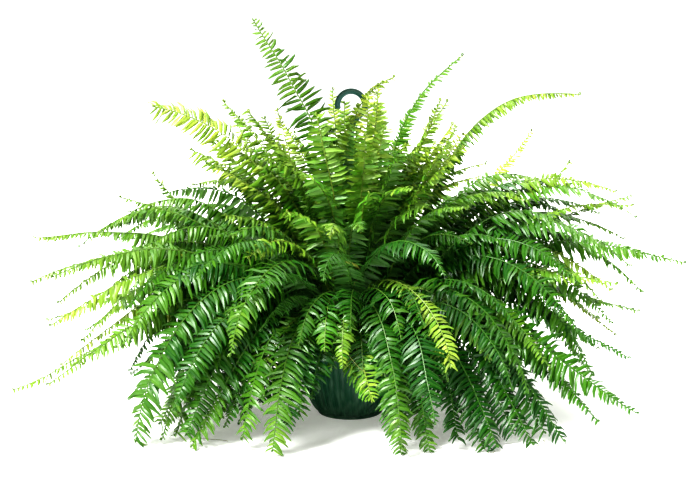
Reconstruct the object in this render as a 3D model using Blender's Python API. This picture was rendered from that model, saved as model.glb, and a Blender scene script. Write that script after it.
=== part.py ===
"""Boston fern in a ribbed plastic hanging pot that stands on its own base.

Metres, +Z up. The origin is the middle of the pot's base, on the surface it stands on.
"""

import math

import bmesh
import bpy
from mathutils import Matrix, Vector

# The pot
BASE_RADIUS = 0.057
FOOT_HEIGHT = 0.005
FOOT_INSET = 0.0015
POT_HEIGHT = 0.132
RIM_RADIUS = 0.101
RIM_BAND = 0.016
RIM_STEP = 0.003
BOWL_FULLNESS = 0.62
BOWL_RINGS = 7
RING_SPREAD = 1.7
WALL = 0.0016
RIB_COUNT = 44
RIB_DEPTH = 0.0012
DRAIN_COUNT = 4
DRAIN_RADIUS = 0.005
DRAIN_RING = 0.036
DRAIN_SIDES = 12

# The potting mix and the crown that the fronds spring from
GAP = 0.0005
SOIL_TOP = 0.116
SOIL_CROWNING = 0.003
CROWN_RADIUS = 0.068
CROWN_HEIGHT = 0.016
CROWN_FALL = 0.75
CROWN_UNDERCUT = 0.004
CROWN_RINGS = (1.0, 0.8, 0.55, 0.25)
ROUND_STEPS = 48

# The hanger
HOOK_CENTRE = Vector((0.002, 0.0, 0.529))
HOOK_RADIUS = 0.0228
HOOK_WIDTH = 0.0094
HOOK_THICK = 0.0052
HOOK_GROOVE = 0.0013
HOOK_EDGE = 0.0020
HOOK_STEPS = 26
HOOK_FREE_END = math.radians(196)
HOOK_TURNS_IN = math.radians(-52)
HOOK_TIP_SHARE = 0.55
HOOK_TIP_GROWTH = 0.15
STEM_BOTTOM = 0.462
HUB_RADIUS = 0.009
HUB_HEIGHT = 0.008
STRAND_COUNT = 3
STRAND_START = math.radians(108)
STRAND_RADIUS = 0.0017
STRAND_FOOT_RADIUS = 0.0945
STRAND_FOOT_Z = 0.120
STRAND_SEAT = 0.6
STRAND_BOW = 0.012
STRAND_STOPS = (0.0, 0.1, 0.3, 0.5, 0.7, 0.9, 1.0)

# The fronds; shares are of a frond's length, or of its full width
FROND_STEPS = 12
STALK_HALF = 0.0018
STALK_THICK = 0.0032
BLADE_THICK = 0.0014
THIN_BY = 0.3
BLADE_SHARE = 0.5
BLADE_DROP = 0.22
BARE_STALK = 0.12
SWELL_RUN = 0.25
TAPER_FROM = 0.55
TAPER_LOSS = 0.88
TAPER_CURVE = 1.3
ROLLED_BY = 0.4
ROOT_OUTER = 0.058
ROOT_INNER = 0.012
LAUNCH_LOW = 28.0
LAUNCH_HIGH = 88.0
LEAST_RISE = 0.45
ARCH_RISE = 0.42
TIP_RUN = 0.42

# One line for each frond, chosen by hand: the way it leans at its foot (degrees round from +X),
# how steeply it leaves the crown (degrees), where its tip is (metres), how steeply the tip
# points (degrees, down is negative), how far the blade rolls about its rib (degrees), and the
# blade's full width (metres)
FRONDS = (
    # tall and upright, from the middle of the crown
    (88, 88, -0.16, -0.005, 0.67, 58, 0, 0.085),
    (195, 66, -0.32, -0.06, 0.53, 12, -50, 0.080),
    (150, 78, -0.22, 0.09, 0.53, 45, -10, 0.055),
    (118, 72, -0.13, 0.17, 0.51, 70, 0, 0.060),
    (76, 80, -0.03, 0.13, 0.55, 85, 0, 0.050),
    (285, 78, 0.07, -0.09, 0.58, 18, 0, 0.060),
    (45, 84, 0.05, 0.06, 0.56, 82, 0, 0.055),
    (2, 74, 0.19, 0.03, 0.61, 35, 20, 0.050),
    (310, 79, 0.15, -0.04, 0.54, 68, 0, 0.060),
    (25, 74, 0.17, 0.09, 0.53, 50, 0, 0.060),
    (325, 76, 0.17, -0.09, 0.50, 60, 0, 0.060),
    (6, 62, 0.385, 0.01, 0.545, -8, 0, 0.060),
    # half upright
    (38, 52, 0.33, 0.18, 0.47, 48, 0, 0.050),
    (20, 48, 0.39, 0.12, 0.42, 48, 0, 0.045),
    (160, 52, -0.35, 0.12, 0.40, 50, 0, 0.050),
    (187, 52, -0.38, -0.05, 0.38, 15, -20, 0.045),
    (172, 62, -0.30, 0.08, 0.34, -20, 0, 0.080),
    # long ones to the left
    (178, 44, -0.54, 0.02, 0.30, -8, 0, 0.080),
    (185, 40, -0.53, -0.06, 0.24, -22, -20, 0.085),
    (196, 44, -0.47, -0.17, 0.27, -20, -30, 0.085),
    (176, 34, -0.53, 0.05, 0.15, -20, 0, 0.080),
    (192, 32, -0.57, -0.05, 0.05, -22, -20, 0.080),
    (201, 38, -0.48, -0.19, 0.10, -30, -25, 0.085),
    # over the front of the pot
    (216, 58, -0.34, -0.20, 0.01, -84, -20, 0.095),
    (236, 72, -0.18, -0.28, 0.17, -80, -10, 0.090),
    (243, 46, -0.12, -0.25, 0.01, -78, 0, 0.085),
    (234, 42, -0.20, -0.19, 0.03, -60, 0, 0.080),
    (250, 58, 0.035, -0.22, 0.08, -50, 0, 0.075),
    (284, 60, 0.08, -0.27, 0.02, -80, 0, 0.085),
    (278, 66, 0.07, -0.25, 0.11, -72, 0, 0.080),
    (298, 62, 0.15, -0.24, 0.12, -75, 0, 0.075),
    (306, 46, 0.23, -0.23, 0.01, -62, 0, 0.085),
    (314, 56, 0.28, -0.20, 0.09, -75, 0, 0.080),
    (320, 42, 0.34, -0.20, 0.01, -52, 0, 0.085),
    # long ones to the right
    (332, 52, 0.46, -0.18, 0.05, -24, 25, 0.100),
    (343, 37, 0.46, -0.10, 0.12, -25, 20, 0.080),
    (355, 42, 0.49, -0.02, 0.18, -15, 0, 0.075),
    (338, 54, 0.43, -0.13, 0.25, -8, 20, 0.070),
    (358, 46, 0.57, 0.00, 0.26, -15, 30, 0.080),
    (10, 50, 0.48, 0.07, 0.29, -30, 0, 0.085),
    (15, 38, 0.50, 0.12, 0.36, 12, 0, 0.055),
    (318, 62, 0.185, -0.17, 0.38, 0, 0, 0.060),
    # round the back
    (62, 60, 0.24, 0.43, 0.30, -20, 0, 0.085),
    (88, 58, 0.02, 0.49, 0.27, -22, 0, 0.085),
    (122, 60, -0.26, 0.42, 0.28, -20, 0, 0.085),
    (144, 54, -0.42, 0.31, 0.25, -22, 0, 0.085),
    (30, 36, 0.48, 0.28, 0.10, -35, 0, 0.085),
    (52, 38, 0.31, 0.41, 0.06, -50, 0, 0.085),
    (75, 36, 0.12, 0.49, 0.06, -45, 0, 0.085),
    (102, 38, -0.10, 0.47, 0.05, -48, 0, 0.085),
    (130, 36, -0.33, 0.39, 0.07, -42, 0, 0.085),
    (155, 34, -0.50, 0.23, 0.09, -32, 0, 0.085),
)

COLOURS = {
    "pot": ((0.010, 0.050, 0.028), 0.45),
    "hanger": ((0.010, 0.050, 0.035), 0.35),
    "soil": ((0.030, 0.018, 0.010), 0.95),
    "crown": ((0.090, 0.055, 0.025), 0.85),
    "leaf": ((0.110, 0.300, 0.020), 0.50),
}


def clear_scene():
    for item in list(bpy.data.objects):
        bpy.data.objects.remove(item, do_unlink=True)


def material(name):
    """The named finish, made once."""
    found = bpy.data.materials.get(name)
    if found:
        return found
    colour, roughness = COLOURS[name]
    finish = bpy.data.materials.new(name)
    finish.use_nodes = True
    shader = finish.node_tree.nodes["Principled BSDF"]
    shader.inputs["Base Color"].default_value = (*colour, 1.0)
    shader.inputs["Roughness"].default_value = roughness
    return finish


def add_object(name, bm, finish, smooth_angle=None):
    """Turn a bmesh into a named object, faces pointing out."""
    bmesh.ops.recalc_face_normals(bm, faces=bm.faces)
    mesh = bpy.data.meshes.new(name)
    bm.to_mesh(mesh)
    bm.free()
    if smooth_angle is not None:
        mesh.shade_smooth()
        mesh.set_sharp_from_angle(angle=math.radians(smooth_angle))
    mesh.materials.append(material(finish))
    item = bpy.data.objects.new(name, mesh)
    bpy.context.scene.collection.objects.link(item)
    return item


def bridge_rings(bm, rings):
    """Skin a run of equal rings and cap both ends."""
    count = len(rings[0])
    for lower, upper in zip(rings, rings[1:]):
        for k in range(count):
            j = (k + 1) % count
            bm.faces.new((lower[k], lower[j], upper[j], upper[k]))
    bm.faces.new(rings[0])
    bm.faces.new(rings[-1])


def turned(profile, steps, ribs=None):
    """A closed outline of (radius, z) turned about Z; ribs(radius, z, k) may lift a point."""
    bm = bmesh.new()
    columns = []
    for k in range(steps):
        angle = math.tau * k / steps
        column = []
        for radius, z in profile:
            reach = radius + (ribs(radius, z, k) if ribs else 0.0)
            column.append(bm.verts.new((reach * math.cos(angle), reach * math.sin(angle), z)))
        columns.append(column)
    for k in range(steps):
        here, there = columns[k], columns[(k + 1) % steps]
        for i in range(len(profile) - 1):
            bm.faces.new((here[i], here[i + 1], there[i + 1], there[i]))
    bm.faces.new([column[0] for column in columns])
    bm.faces.new([column[-1] for column in columns])
    return bm


def bowl_radius(z):
    """The bowl's outer line: it flares fast just above the foot and slower towards the rim band."""
    low, high = BASE_RADIUS, RIM_RADIUS - RIM_STEP
    share = max(0.0, min(1.0, (z - FOOT_HEIGHT) / (POT_HEIGHT - RIM_BAND - FOOT_HEIGHT)))
    return low + (high - low) * share ** BOWL_FULLNESS


def wall_heights():
    """Heights of the bowl's rings, closer together low down where it curves most."""
    span = POT_HEIGHT - RIM_BAND - FOOT_HEIGHT
    return [FOOT_HEIGHT + span * (k / BOWL_RINGS) ** RING_SPREAD for k in range(BOWL_RINGS + 1)]


def make_pot():
    foot = BASE_RADIUS - FOOT_INSET
    band_bottom = POT_HEIGHT - RIM_BAND
    outer = [(foot, 0.0), (foot, FOOT_HEIGHT)]
    outer += [(bowl_radius(z), z) for z in wall_heights()]
    outer += [(RIM_RADIUS, band_bottom), (RIM_RADIUS, POT_HEIGHT)]
    inner = [(RIM_RADIUS - WALL, POT_HEIGHT), (RIM_RADIUS - WALL, band_bottom + WALL)]
    inner += [(bowl_radius(z) - WALL, z + WALL) for z in reversed(wall_heights())]

    def ribs(radius, z, k):
        on_outside = radius > bowl_radius(z) - WALL / 2
        on_bowl = FOOT_HEIGHT < z < band_bottom - GAP
        return RIB_DEPTH if on_outside and on_bowl and k % 2 else 0.0

    bm = turned(outer + inner, 2 * RIB_COUNT, ribs)
    pot = add_object("pot", bm, "pot", 35)
    for k in range(DRAIN_COUNT):
        angle = math.tau * (k + 0.5) / DRAIN_COUNT
        bpy.ops.mesh.primitive_cylinder_add(
            vertices=DRAIN_SIDES, radius=DRAIN_RADIUS, depth=4 * FOOT_HEIGHT,
            location=(DRAIN_RING * math.cos(angle), DRAIN_RING * math.sin(angle), 0.0),
        )
        cutter = bpy.context.object
        cutter.name = f"drain_cutter_{k + 1}"
        cutter.hide_render = True
        cutter.display_type = "WIRE"
        cut = pot.modifiers.new(f"drain_{k + 1}", "BOOLEAN")
        cut.operation = "DIFFERENCE"
        cut.solver = "EXACT"
        cut.object = cutter


def make_soil():
    """The mix fills the bowl a hair clear of its wall, and is slightly domed."""
    lift = WALL + GAP
    profile = [(bowl_radius(z) - lift, z + lift) for z in wall_heights() if z + 2 * lift < SOIL_TOP]
    profile.append((bowl_radius(SOIL_TOP - WALL) - lift - GAP, SOIL_TOP))
    profile.append((CROWN_RADIUS, SOIL_TOP + SOIL_CROWNING))
    add_object("potting_mix", turned(profile, ROUND_STEPS), "soil", 40)


def crown_height(radius):
    """Top of the crown at this radius: a low dome."""
    share = min(1.0, radius / CROWN_RADIUS)
    return SOIL_TOP + SOIL_CROWNING + GAP + CROWN_HEIGHT * (1.0 - CROWN_FALL * share * share)


def make_crown():
    bottom = SOIL_TOP + SOIL_CROWNING + GAP
    radii = [CROWN_RADIUS * share for share in CROWN_RINGS]
    profile = [(CROWN_RADIUS - CROWN_UNDERCUT, bottom)] + [(r, crown_height(r)) for r in radii]
    add_object("crown", turned(profile, ROUND_STEPS // 2), "crown", 50)


def hook_route():
    """Middle of the hook's strip: free end, round the loop, back in to the stem and down."""
    route = []
    for k in range(HOOK_STEPS + 1):
        angle = HOOK_FREE_END + (HOOK_TURNS_IN - HOOK_FREE_END) * k / HOOK_STEPS
        spoke = Vector((math.cos(angle), 0.0, math.sin(angle)))
        route.append(HOOK_CENTRE + HOOK_RADIUS * spoke)
    # a smaller arc bends the other way and leaves the strip pointing straight down
    leave = route[-1]
    spoke = (leave - HOOK_CENTRE).normalized()
    turn = (leave.x - HOOK_CENTRE.x) / (1.0 - spoke.x)
    centre = leave + spoke * turn
    steps = HOOK_STEPS // 3
    first = math.atan2(-spoke.z, -spoke.x)
    for k in range(1, steps + 1):
        angle = first + (math.pi - first) * k / steps
        route.append(centre + turn * Vector((math.cos(angle), 0.0, math.sin(angle))))
    route.append(Vector((HOOK_CENTRE.x, 0.0, STEM_BOTTOM + HUB_HEIGHT)))
    return route


def make_hook():
    """A moulded strip of I section: a rib along each edge and a thinner web between."""
    route = hook_route()
    half, edge = HOOK_WIDTH / 2, HOOK_WIDTH / 2 - HOOK_EDGE
    full, web = HOOK_THICK / 2, HOOK_THICK / 2 - HOOK_GROOVE
    section = (
        (half, -full), (half, full), (edge, full), (edge, web), (-edge, web), (-edge, full),
        (-half, full), (-half, -full), (-edge, -full), (-edge, -web), (edge, -web), (edge, -full),
    )
    bm = bmesh.new()
    rings = []
    for index, point in enumerate(route):
        ahead = route[min(index + 1, len(route) - 1)] - route[max(index - 1, 0)]
        across = ahead.normalized().cross(Vector((0.0, 1.0, 0.0)))
        taper = min(1.0, HOOK_TIP_SHARE + HOOK_TIP_GROWTH * index)
        ring = [
            bm.verts.new(point + across * (u * taper) + Vector((0.0, v, 0.0)))
            for u, v in section
        ]
        rings.append(ring)
    bridge_rings(bm, rings)
    add_object("hanger_hook", bm, "hanger", 40)
    hub = turned(
        [(HUB_RADIUS, STEM_BOTTOM), (HUB_RADIUS, STEM_BOTTOM + HUB_HEIGHT - GAP)], ROUND_STEPS // 2
    )
    bmesh.ops.translate(hub, verts=hub.verts, vec=(HOOK_CENTRE.x, 0.0, 0.0))
    add_object("hanger_hub", hub, "hanger", 40)


def tube(name, route, radius, sides, finish):
    """A round rod along a route of points."""
    bm = bmesh.new()
    rings = []
    for index, point in enumerate(route):
        ahead = (route[min(index + 1, len(route) - 1)] - route[max(index - 1, 0)]).normalized()
        side = ahead.cross(Vector((0.0, 0.0, 1.0)))
        side = side.normalized() if side.length > 1e-6 else Vector((1.0, 0.0, 0.0))
        other = ahead.cross(side)
        ring = []
        for k in range(sides):
            angle = math.tau * k / sides
            ring.append(bm.verts.new(
                point + radius * (math.cos(angle) * side + math.sin(angle) * other)))
        rings.append(ring)
    bridge_rings(bm, rings)
    return add_object(name, bm, finish, 60)


def make_strands():
    """Three rods from the hub down to the inside of the rim."""
    for k in range(STRAND_COUNT):
        angle = STRAND_START + math.tau * k / STRAND_COUNT
        way = Vector((math.cos(angle), math.sin(angle), 0.0))
        top = Vector((HOOK_CENTRE.x, 0.0, STEM_BOTTOM - GAP - STRAND_RADIUS))
        top += way * HUB_RADIUS * STRAND_SEAT
        foot = way * STRAND_FOOT_RADIUS + Vector((0.0, 0.0, STRAND_FOOT_Z))
        route = [
            top + (foot - top) * share + way * STRAND_BOW * math.sin(math.pi * share)
            for share in STRAND_STOPS
        ]
        tube(f"hanger_strand_{k + 1}", route, STRAND_RADIUS, 8, "hanger")


def heading(azimuth, pitch):
    """Unit vector round from +X by azimuth and up by pitch, in degrees."""
    a, p = math.radians(azimuth), math.radians(pitch)
    return Vector((math.cos(a) * math.cos(p), math.sin(a) * math.cos(p), math.sin(p)))


def frond_curve(face, launch, tip, pitch):
    """Four control points of the rib: out of the crown, over, and down to the tip."""
    steep = (launch - LAUNCH_LOW) / (LAUNCH_HIGH - LAUNCH_LOW)
    reach = ROOT_OUTER + (ROOT_INNER - ROOT_OUTER) * steep
    foot = heading(face, 0.0) * reach
    foot.z = crown_height(reach) + 2 * GAP
    length = (tip - foot).length
    away = math.degrees(math.atan2(tip.y - foot.y, tip.x - foot.x))
    rise = LEAST_RISE + ARCH_RISE * max(0.0, -pitch) / 90.0
    return (
        foot,
        foot + heading(face, launch) * length * rise,
        tip - heading(away, pitch) * length * TIP_RUN,
        tip,
    )


def along(curve, t):
    """Point and direction of the cubic curve at t."""
    a, b, c, d = curve
    s = 1.0 - t
    point = s * s * s * a + 3 * s * s * t * b + 3 * s * t * t * c + t * t * t * d
    ahead = 3 * s * s * (b - a) + 6 * s * t * (c - b) + 3 * t * t * (d - c)
    return point, ahead.normalized()


def blade_share(t):
    """How much of its full width the blade has at t: bare stalk, quick swell, long taper."""
    swell = max(0.0, min(1.0, (t - BARE_STALK) / SWELL_RUN))
    run = max(0.0, (t - TAPER_FROM) / (1.0 - TAPER_FROM))
    return math.sin(0.5 * math.pi * swell) * (1.0 - TAPER_LOSS * run ** TAPER_CURVE)


def bridge_blade(bm, rings):
    """Skin rings of edge, upper rib, edge and lower rib, and cap both ends.

    Both skins are split along the same diagonals, so they stay apart where the blade twists.
    """
    for here, there in zip(rings, rings[1:]):
        for edge in (0, 2):
            for rib in (1, 3):
                bm.faces.new((here[edge], there[edge], there[rib]))
                bm.faces.new((here[edge], there[rib], here[rib]))
    bm.faces.new(rings[0])
    bm.faces.new(rings[-1])


def make_frond(name, face, launch, tip, pitch, roll, width):
    """A closed blade along the rib: its edges hang a little below the rib."""
    curve = frond_curve(face, launch, tip, pitch)
    flat = heading(face + 90.0, 0.0)
    bm = bmesh.new()
    rings = []
    for k in range(FROND_STEPS + 1):
        t = k / FROND_STEPS
        point, ahead = along(curve, t)
        if k == 0:
            ahead = Vector((0.0, 0.0, 1.0))
        side = (flat - flat.dot(ahead) * ahead).normalized()
        up = ahead.cross(side)
        turn = Matrix.Rotation(math.radians(roll) * min(1.0, t / ROLLED_BY), 3, ahead)
        side, up = turn @ side, turn @ up
        blade = blade_share(t)
        half = STALK_HALF + BLADE_SHARE * 0.5 * width * blade
        thick = STALK_THICK + (BLADE_THICK - STALK_THICK) * min(1.0, t / THIN_BY)
        drop = up * (half - STALK_HALF) * BLADE_DROP
        rings.append([
            bm.verts.new(point + side * half - drop),
            bm.verts.new(point + up * thick / 2),
            bm.verts.new(point - side * half - drop),
            bm.verts.new(point - up * thick / 2),
        ])
    bridge_blade(bm, rings)
    add_object(name, bm, "leaf", 50)


def make_fronds():
    for index, row in enumerate(FRONDS, 1):
        face, launch, x, y, z, pitch, roll, width = row
        make_frond(f"frond_{index:02d}", face, launch, Vector((x, y, z)), pitch, roll, width)


clear_scene()
make_pot()
make_soil()
make_crown()
make_hook()
make_strands()
make_fronds()
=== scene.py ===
"""A sword fern in its green hanging pot, standing on the pot's own base. Lengths are in metres."""

import math

import bmesh
import bpy
import numpy as np
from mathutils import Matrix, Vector


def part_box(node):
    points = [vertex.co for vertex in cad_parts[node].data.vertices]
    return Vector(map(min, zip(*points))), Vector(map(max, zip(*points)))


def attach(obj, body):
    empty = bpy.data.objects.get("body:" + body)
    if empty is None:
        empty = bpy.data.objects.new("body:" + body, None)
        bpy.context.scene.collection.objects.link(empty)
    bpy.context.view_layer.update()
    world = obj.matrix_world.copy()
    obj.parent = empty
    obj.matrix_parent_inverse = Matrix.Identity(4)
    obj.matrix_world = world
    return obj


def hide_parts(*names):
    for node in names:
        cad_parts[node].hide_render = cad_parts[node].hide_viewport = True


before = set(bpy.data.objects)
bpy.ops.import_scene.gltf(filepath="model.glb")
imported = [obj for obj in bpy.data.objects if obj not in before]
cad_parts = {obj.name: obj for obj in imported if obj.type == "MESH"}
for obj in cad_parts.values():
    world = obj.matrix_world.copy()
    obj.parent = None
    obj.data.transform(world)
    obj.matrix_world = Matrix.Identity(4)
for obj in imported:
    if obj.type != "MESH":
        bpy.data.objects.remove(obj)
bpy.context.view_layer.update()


# The pot: a hanging pot, injection moulded in one piece of dark green polypropylene. Upright
# ribs stiffen its thin bowl, a stepped band stiffens the rim, and it stands on a low foot ring.

POT_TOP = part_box("pot")[1]
POT_HEIGHT = POT_TOP.z
RIM_RADIUS = POT_TOP.x
RIM_BAND = 0.016
RIM_STEP = 0.003
BASE_RADIUS = 0.057
FOOT_INSET = 0.0015
FOOT_HEIGHT = 0.005
FOOT_WIDTH = 0.003
WALL = 0.0016
BOWL_FULLNESS = 0.62
BOWL_STEPS = 14
BOWL_SPACING = 1.7  # the steps are closer low down, where the wall turns most
RIBS = 56
STEPS_PER_RIB = 6
RIB_DEPTH = 0.0020
RIB_SHOULDER = 0.45  # share of its depth that a rib has beside its crest
RIB_END = 0.001  # how far a rib stops short of the foot and of the rim band
ROUNDING = 0.0005
DRAIN_HOLES = 4
DRAIN_RADIUS = 0.005
DRAIN_RING = 0.036


def hex_colour(code):
    """A six-digit sRGB colour, turned linear, with full alpha."""
    parts = [int(code[k:k + 2], 16) / 255 for k in (0, 2, 4)]
    return (*[p / 12.92 if p <= 0.04045 else ((p + 0.055) / 1.055) ** 2.4 for p in parts], 1.0)


def add_node(tree, kind, inputs=None, **settings):
    """Adds a node with its settings. An input is given a value, a hex colour, or what feeds it:
    an output, or a node, whose first live output is taken. A Mix node's colours are 6 and 7."""
    node = tree.nodes.new("ShaderNode" + kind)
    for name, value in settings.items():
        setattr(node, name, value)
    for name, value in (inputs or {}).items():
        if isinstance(value, bpy.types.Node):
            value = next(output for output in value.outputs if output.enabled)
        if isinstance(value, bpy.types.NodeSocket):
            tree.links.new(value, node.inputs[name])
        elif isinstance(value, str):
            node.inputs[name].default_value = hex_colour(value)
        else:
            node.inputs[name].default_value = value
    return node


def blank_material(name):
    """A node material with nothing in it yet, and its tree."""
    material = bpy.data.materials.new(name)
    material.use_nodes = True
    material.node_tree.nodes.clear()
    return material, material.node_tree


def pick(piece, kind, chosen):
    """In edit mode, selects the VERTs, EDGEs or FACEs that pass the test, and nothing else."""
    bpy.ops.mesh.select_mode(type=kind)
    bpy.ops.mesh.select_all(action="DESELECT")
    form = bmesh.from_edit_mesh(piece.data)
    for part in {"VERT": form.verts, "EDGE": form.edges, "FACE": form.faces}[kind]:
        if chosen(part):
            part.select_set(True)
    bmesh.update_edit_mesh(piece.data)


def draw_out(reach, height, outline):
    """Extrudes the selected ring through the outline's (radius, height) pairs."""
    for wider, higher in outline:
        bpy.ops.mesh.extrude_region_move(
            TRANSFORM_OT_translate={"value": (0.0, 0.0, higher - height)})
        bpy.ops.transform.resize(
            value=(wider / reach, wider / reach, 1.0), center_override=(0.0, 0.0, 0.0))
        reach, height = wider, higher


def round_form(sides, reach, height, outline):
    """A disc whose edge is drawn out through the outline and closed, left in edit mode."""
    bpy.ops.mesh.primitive_circle_add(
        vertices=sides, radius=reach, fill_type="NGON", location=(0.0, 0.0, height))
    piece = bpy.context.object
    bpy.ops.object.transform_apply(location=True)
    bpy.ops.object.mode_set(mode="EDIT")
    pick(piece, "EDGE", lambda edge: True)
    draw_out(reach, height, outline)
    bpy.ops.mesh.edge_face_add()
    return piece


def face_outwards():
    """In edit mode, selects the whole piece and turns all its faces outwards."""
    bpy.ops.mesh.select_all(action="SELECT")
    bpy.ops.mesh.normals_make_consistent(inside=False)


def finish_piece(piece, name, materials, replaced=(), smooth=40.0):
    """Names a finished piece, gives it its materials, and ties it to the plant's one body."""
    piece.name = piece.data.name = name
    for material in materials:
        piece.data.materials.append(material)
    bpy.context.view_layer.objects.active = piece
    piece.select_set(True)
    bpy.ops.object.transform_apply(location=True, rotation=True, scale=True)
    bpy.ops.object.shade_smooth_by_angle(angle=math.radians(smooth))
    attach(piece, "root")
    if replaced:
        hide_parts(*replaced)
    bpy.ops.object.select_all(action="DESELECT")


def bowl_radius(z):
    """The bowl's outer line: it flares fast just above the foot and slower towards the rim."""
    share = (z - FOOT_HEIGHT) / (POT_HEIGHT - RIM_BAND - FOOT_HEIGHT)
    share = max(0.0, min(1.0, share))
    return BASE_RADIUS + (RIM_RADIUS - RIM_STEP - BASE_RADIUS) * share ** BOWL_FULLNESS


band_bottom = POT_HEIGHT - RIM_BAND
foot_radius = BASE_RADIUS - FOOT_INSET
bowl_heights = [FOOT_HEIGHT + (band_bottom - FOOT_HEIGHT) * (k / BOWL_STEPS) ** BOWL_SPACING
                for k in range(BOWL_STEPS + 1)]
outside = [
    (foot_radius - FOOT_WIDTH + ROUNDING, 0.0), (foot_radius - ROUNDING, 0.0),
    (foot_radius, ROUNDING), (foot_radius, FOOT_HEIGHT - ROUNDING),
    *[(bowl_radius(z), z) for z in bowl_heights],
    (RIM_RADIUS - ROUNDING, band_bottom), (RIM_RADIUS, band_bottom + ROUNDING),
    (RIM_RADIUS, POT_HEIGHT - ROUNDING), (RIM_RADIUS - ROUNDING, POT_HEIGHT),
]
inside = [
    (RIM_RADIUS - WALL + ROUNDING, POT_HEIGHT), (RIM_RADIUS - WALL, POT_HEIGHT - ROUNDING),
    (RIM_RADIUS - WALL, band_bottom + WALL),
    *[(bowl_radius(z) - WALL, z + WALL) for z in reversed(bowl_heights)],
]

bpy.ops.object.select_all(action="DESELECT")
pot = round_form(RIBS * STEPS_PER_RIB, foot_radius - FOOT_WIDTH, FOOT_HEIGHT, outside + inside)
for columns, rise in (((STEPS_PER_RIB - 1, 0, 1), RIB_SHOULDER), ((0,), 1.0 - RIB_SHOULDER)):
    def on_rib(point):
        turn = math.atan2(point.co.y, point.co.x) / math.tau * RIBS * STEPS_PER_RIB
        on_bowl = FOOT_HEIGHT + RIB_END < point.co.z < band_bottom - RIB_END
        is_outside = math.hypot(point.co.x, point.co.y) > bowl_radius(point.co.z) - WALL / 2
        return on_bowl and is_outside and round(turn) % STEPS_PER_RIB in columns

    pick(pot, "VERT", on_rib)
    bpy.ops.transform.shrink_fatten(value=RIB_DEPTH * rise)
face_outwards()
bpy.ops.object.mode_set(mode="OBJECT")

for k in range(DRAIN_HOLES):
    turn = math.tau * (k + 0.5) / DRAIN_HOLES
    bpy.ops.mesh.primitive_cylinder_add(
        vertices=24, radius=DRAIN_RADIUS, depth=4 * FOOT_HEIGHT,
        location=(DRAIN_RING * math.cos(turn), DRAIN_RING * math.sin(turn), 0.0))
    punch = bpy.context.object
    hole = pot.modifiers.new("drain_hole", "BOOLEAN")
    hole.object = punch
    bpy.context.view_layer.objects.active = pot
    bpy.ops.object.modifier_apply(modifier=hole.name)
    bpy.data.objects.remove(punch)

# Moulded polypropylene: an even satin gloss from a lightly blasted mould, IOR 1.49. Watering
# leaves a thin pale film near the foot, in upright streaks about 15 mm wide. The blasted grain
# is drawn 1 mm wide, coarser than the real one, so that it shows.
pot_plastic, tree = blank_material("satin_green_polypropylene")
place = add_node(tree, "TexCoord").outputs["Object"]
streaks = add_node(tree, "Mapping", {"Vector": place, "Scale": (1.0, 1.0, 0.25)})
film = add_node(tree, "TexNoise", {"Vector": streaks, "Scale": 70.0, "Detail": 6.0})
height = add_node(tree, "SeparateXYZ", {"Vector": place}).outputs["Z"]
low_down = add_node(
    tree, "MapRange", {"Value": height, "From Max": 0.09, "To Min": 0.20, "To Max": -0.06})
film = add_node(tree, "Math", {0: film, 1: low_down}, operation="ADD")
film = add_node(tree, "MapRange", {"Value": film, "From Min": 0.50, "From Max": 1.05})
colour = add_node(tree, "Mix", {0: film, 6: "1c5238", 7: "6c8c74"}, data_type="RGBA")
gloss = add_node(tree, "MapRange", {"Value": film, "To Min": 0.36, "To Max": 0.62})
blasting = add_node(tree, "TexNoise", {"Vector": place, "Scale": 900.0, "Detail": 2.0})
grain = add_node(tree, "Bump", {"Height": blasting, "Strength": 0.12, "Distance": 0.0003})
skin = add_node(tree, "BsdfPrincipled", {
    "Base Color": colour, "Roughness": gloss, "Normal": grain, "IOR": 1.49})
add_node(tree, "OutputMaterial", {"Surface": skin})

finish_piece(pot, "ribbed_pot", [pot_plastic], ["pot"], smooth=30.0)


# The potting mix: coarse peat with bark chips and white perlite, filled by hand to just below
# the rim. Its top is slightly domed and rough with crumbs.

MIX_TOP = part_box("potting_mix")[1].z
MIX_CLEARANCE = 0.0006
MIX_GRAIN = 0.004
MIX_RISE = 0.003
MIX_SIDES = 60
MIX_CUTS = 7

mix_radius = bowl_radius(MIX_TOP - MIX_RISE - WALL) - WALL - 2 * MIX_CLEARANCE
bpy.ops.mesh.primitive_circle_add(
    vertices=MIX_SIDES, radius=mix_radius, fill_type="TRIFAN",
    location=(0.0, 0.0, MIX_TOP - MIX_RISE))
mix = bpy.context.object
bpy.ops.object.transform_apply(location=True)
bpy.ops.object.mode_set(mode="EDIT")
pick(mix, "VERT", lambda point: math.hypot(point.co.x, point.co.y) < 1e-6)
bpy.ops.transform.translate(value=(0.0, 0.0, MIX_RISE))
pick(mix, "FACE", lambda face: True)
bpy.ops.mesh.subdivide(number_cuts=MIX_CUTS)
pick(mix, "EDGE", lambda edge: edge.is_boundary)
lower = [(bowl_radius(z) - WALL - 2 * MIX_CLEARANCE, z + WALL + MIX_CLEARANCE)
         for z in reversed(bowl_heights) if z < MIX_TOP - 4 * MIX_RISE]
draw_out(mix_radius, MIX_TOP - MIX_RISE, lower)
bpy.ops.mesh.edge_face_add()
face_outwards()
bpy.ops.object.mode_set(mode="OBJECT")

# only the top is roughened, in from its edge
top_points = mix.vertex_groups.new(name="top")
top_points.add(
    [p.index for p in mix.data.vertices
     if p.co.z > MIX_TOP - 1.2 * MIX_RISE and math.hypot(p.co.x, p.co.y) < mix_radius * 0.99],
    1.0, "REPLACE")
crumbs = bpy.data.textures.new("crumbs", "CLOUDS")
crumbs.noise_scale = MIX_GRAIN
rough = mix.modifiers.new("rough_top", "DISPLACE")
rough.texture = crumbs
rough.strength = MIX_RISE * 0.9
rough.mid_level = 0.7
rough.vertex_group = top_points.name
bpy.ops.object.modifier_apply(modifier=rough.name)

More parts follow.
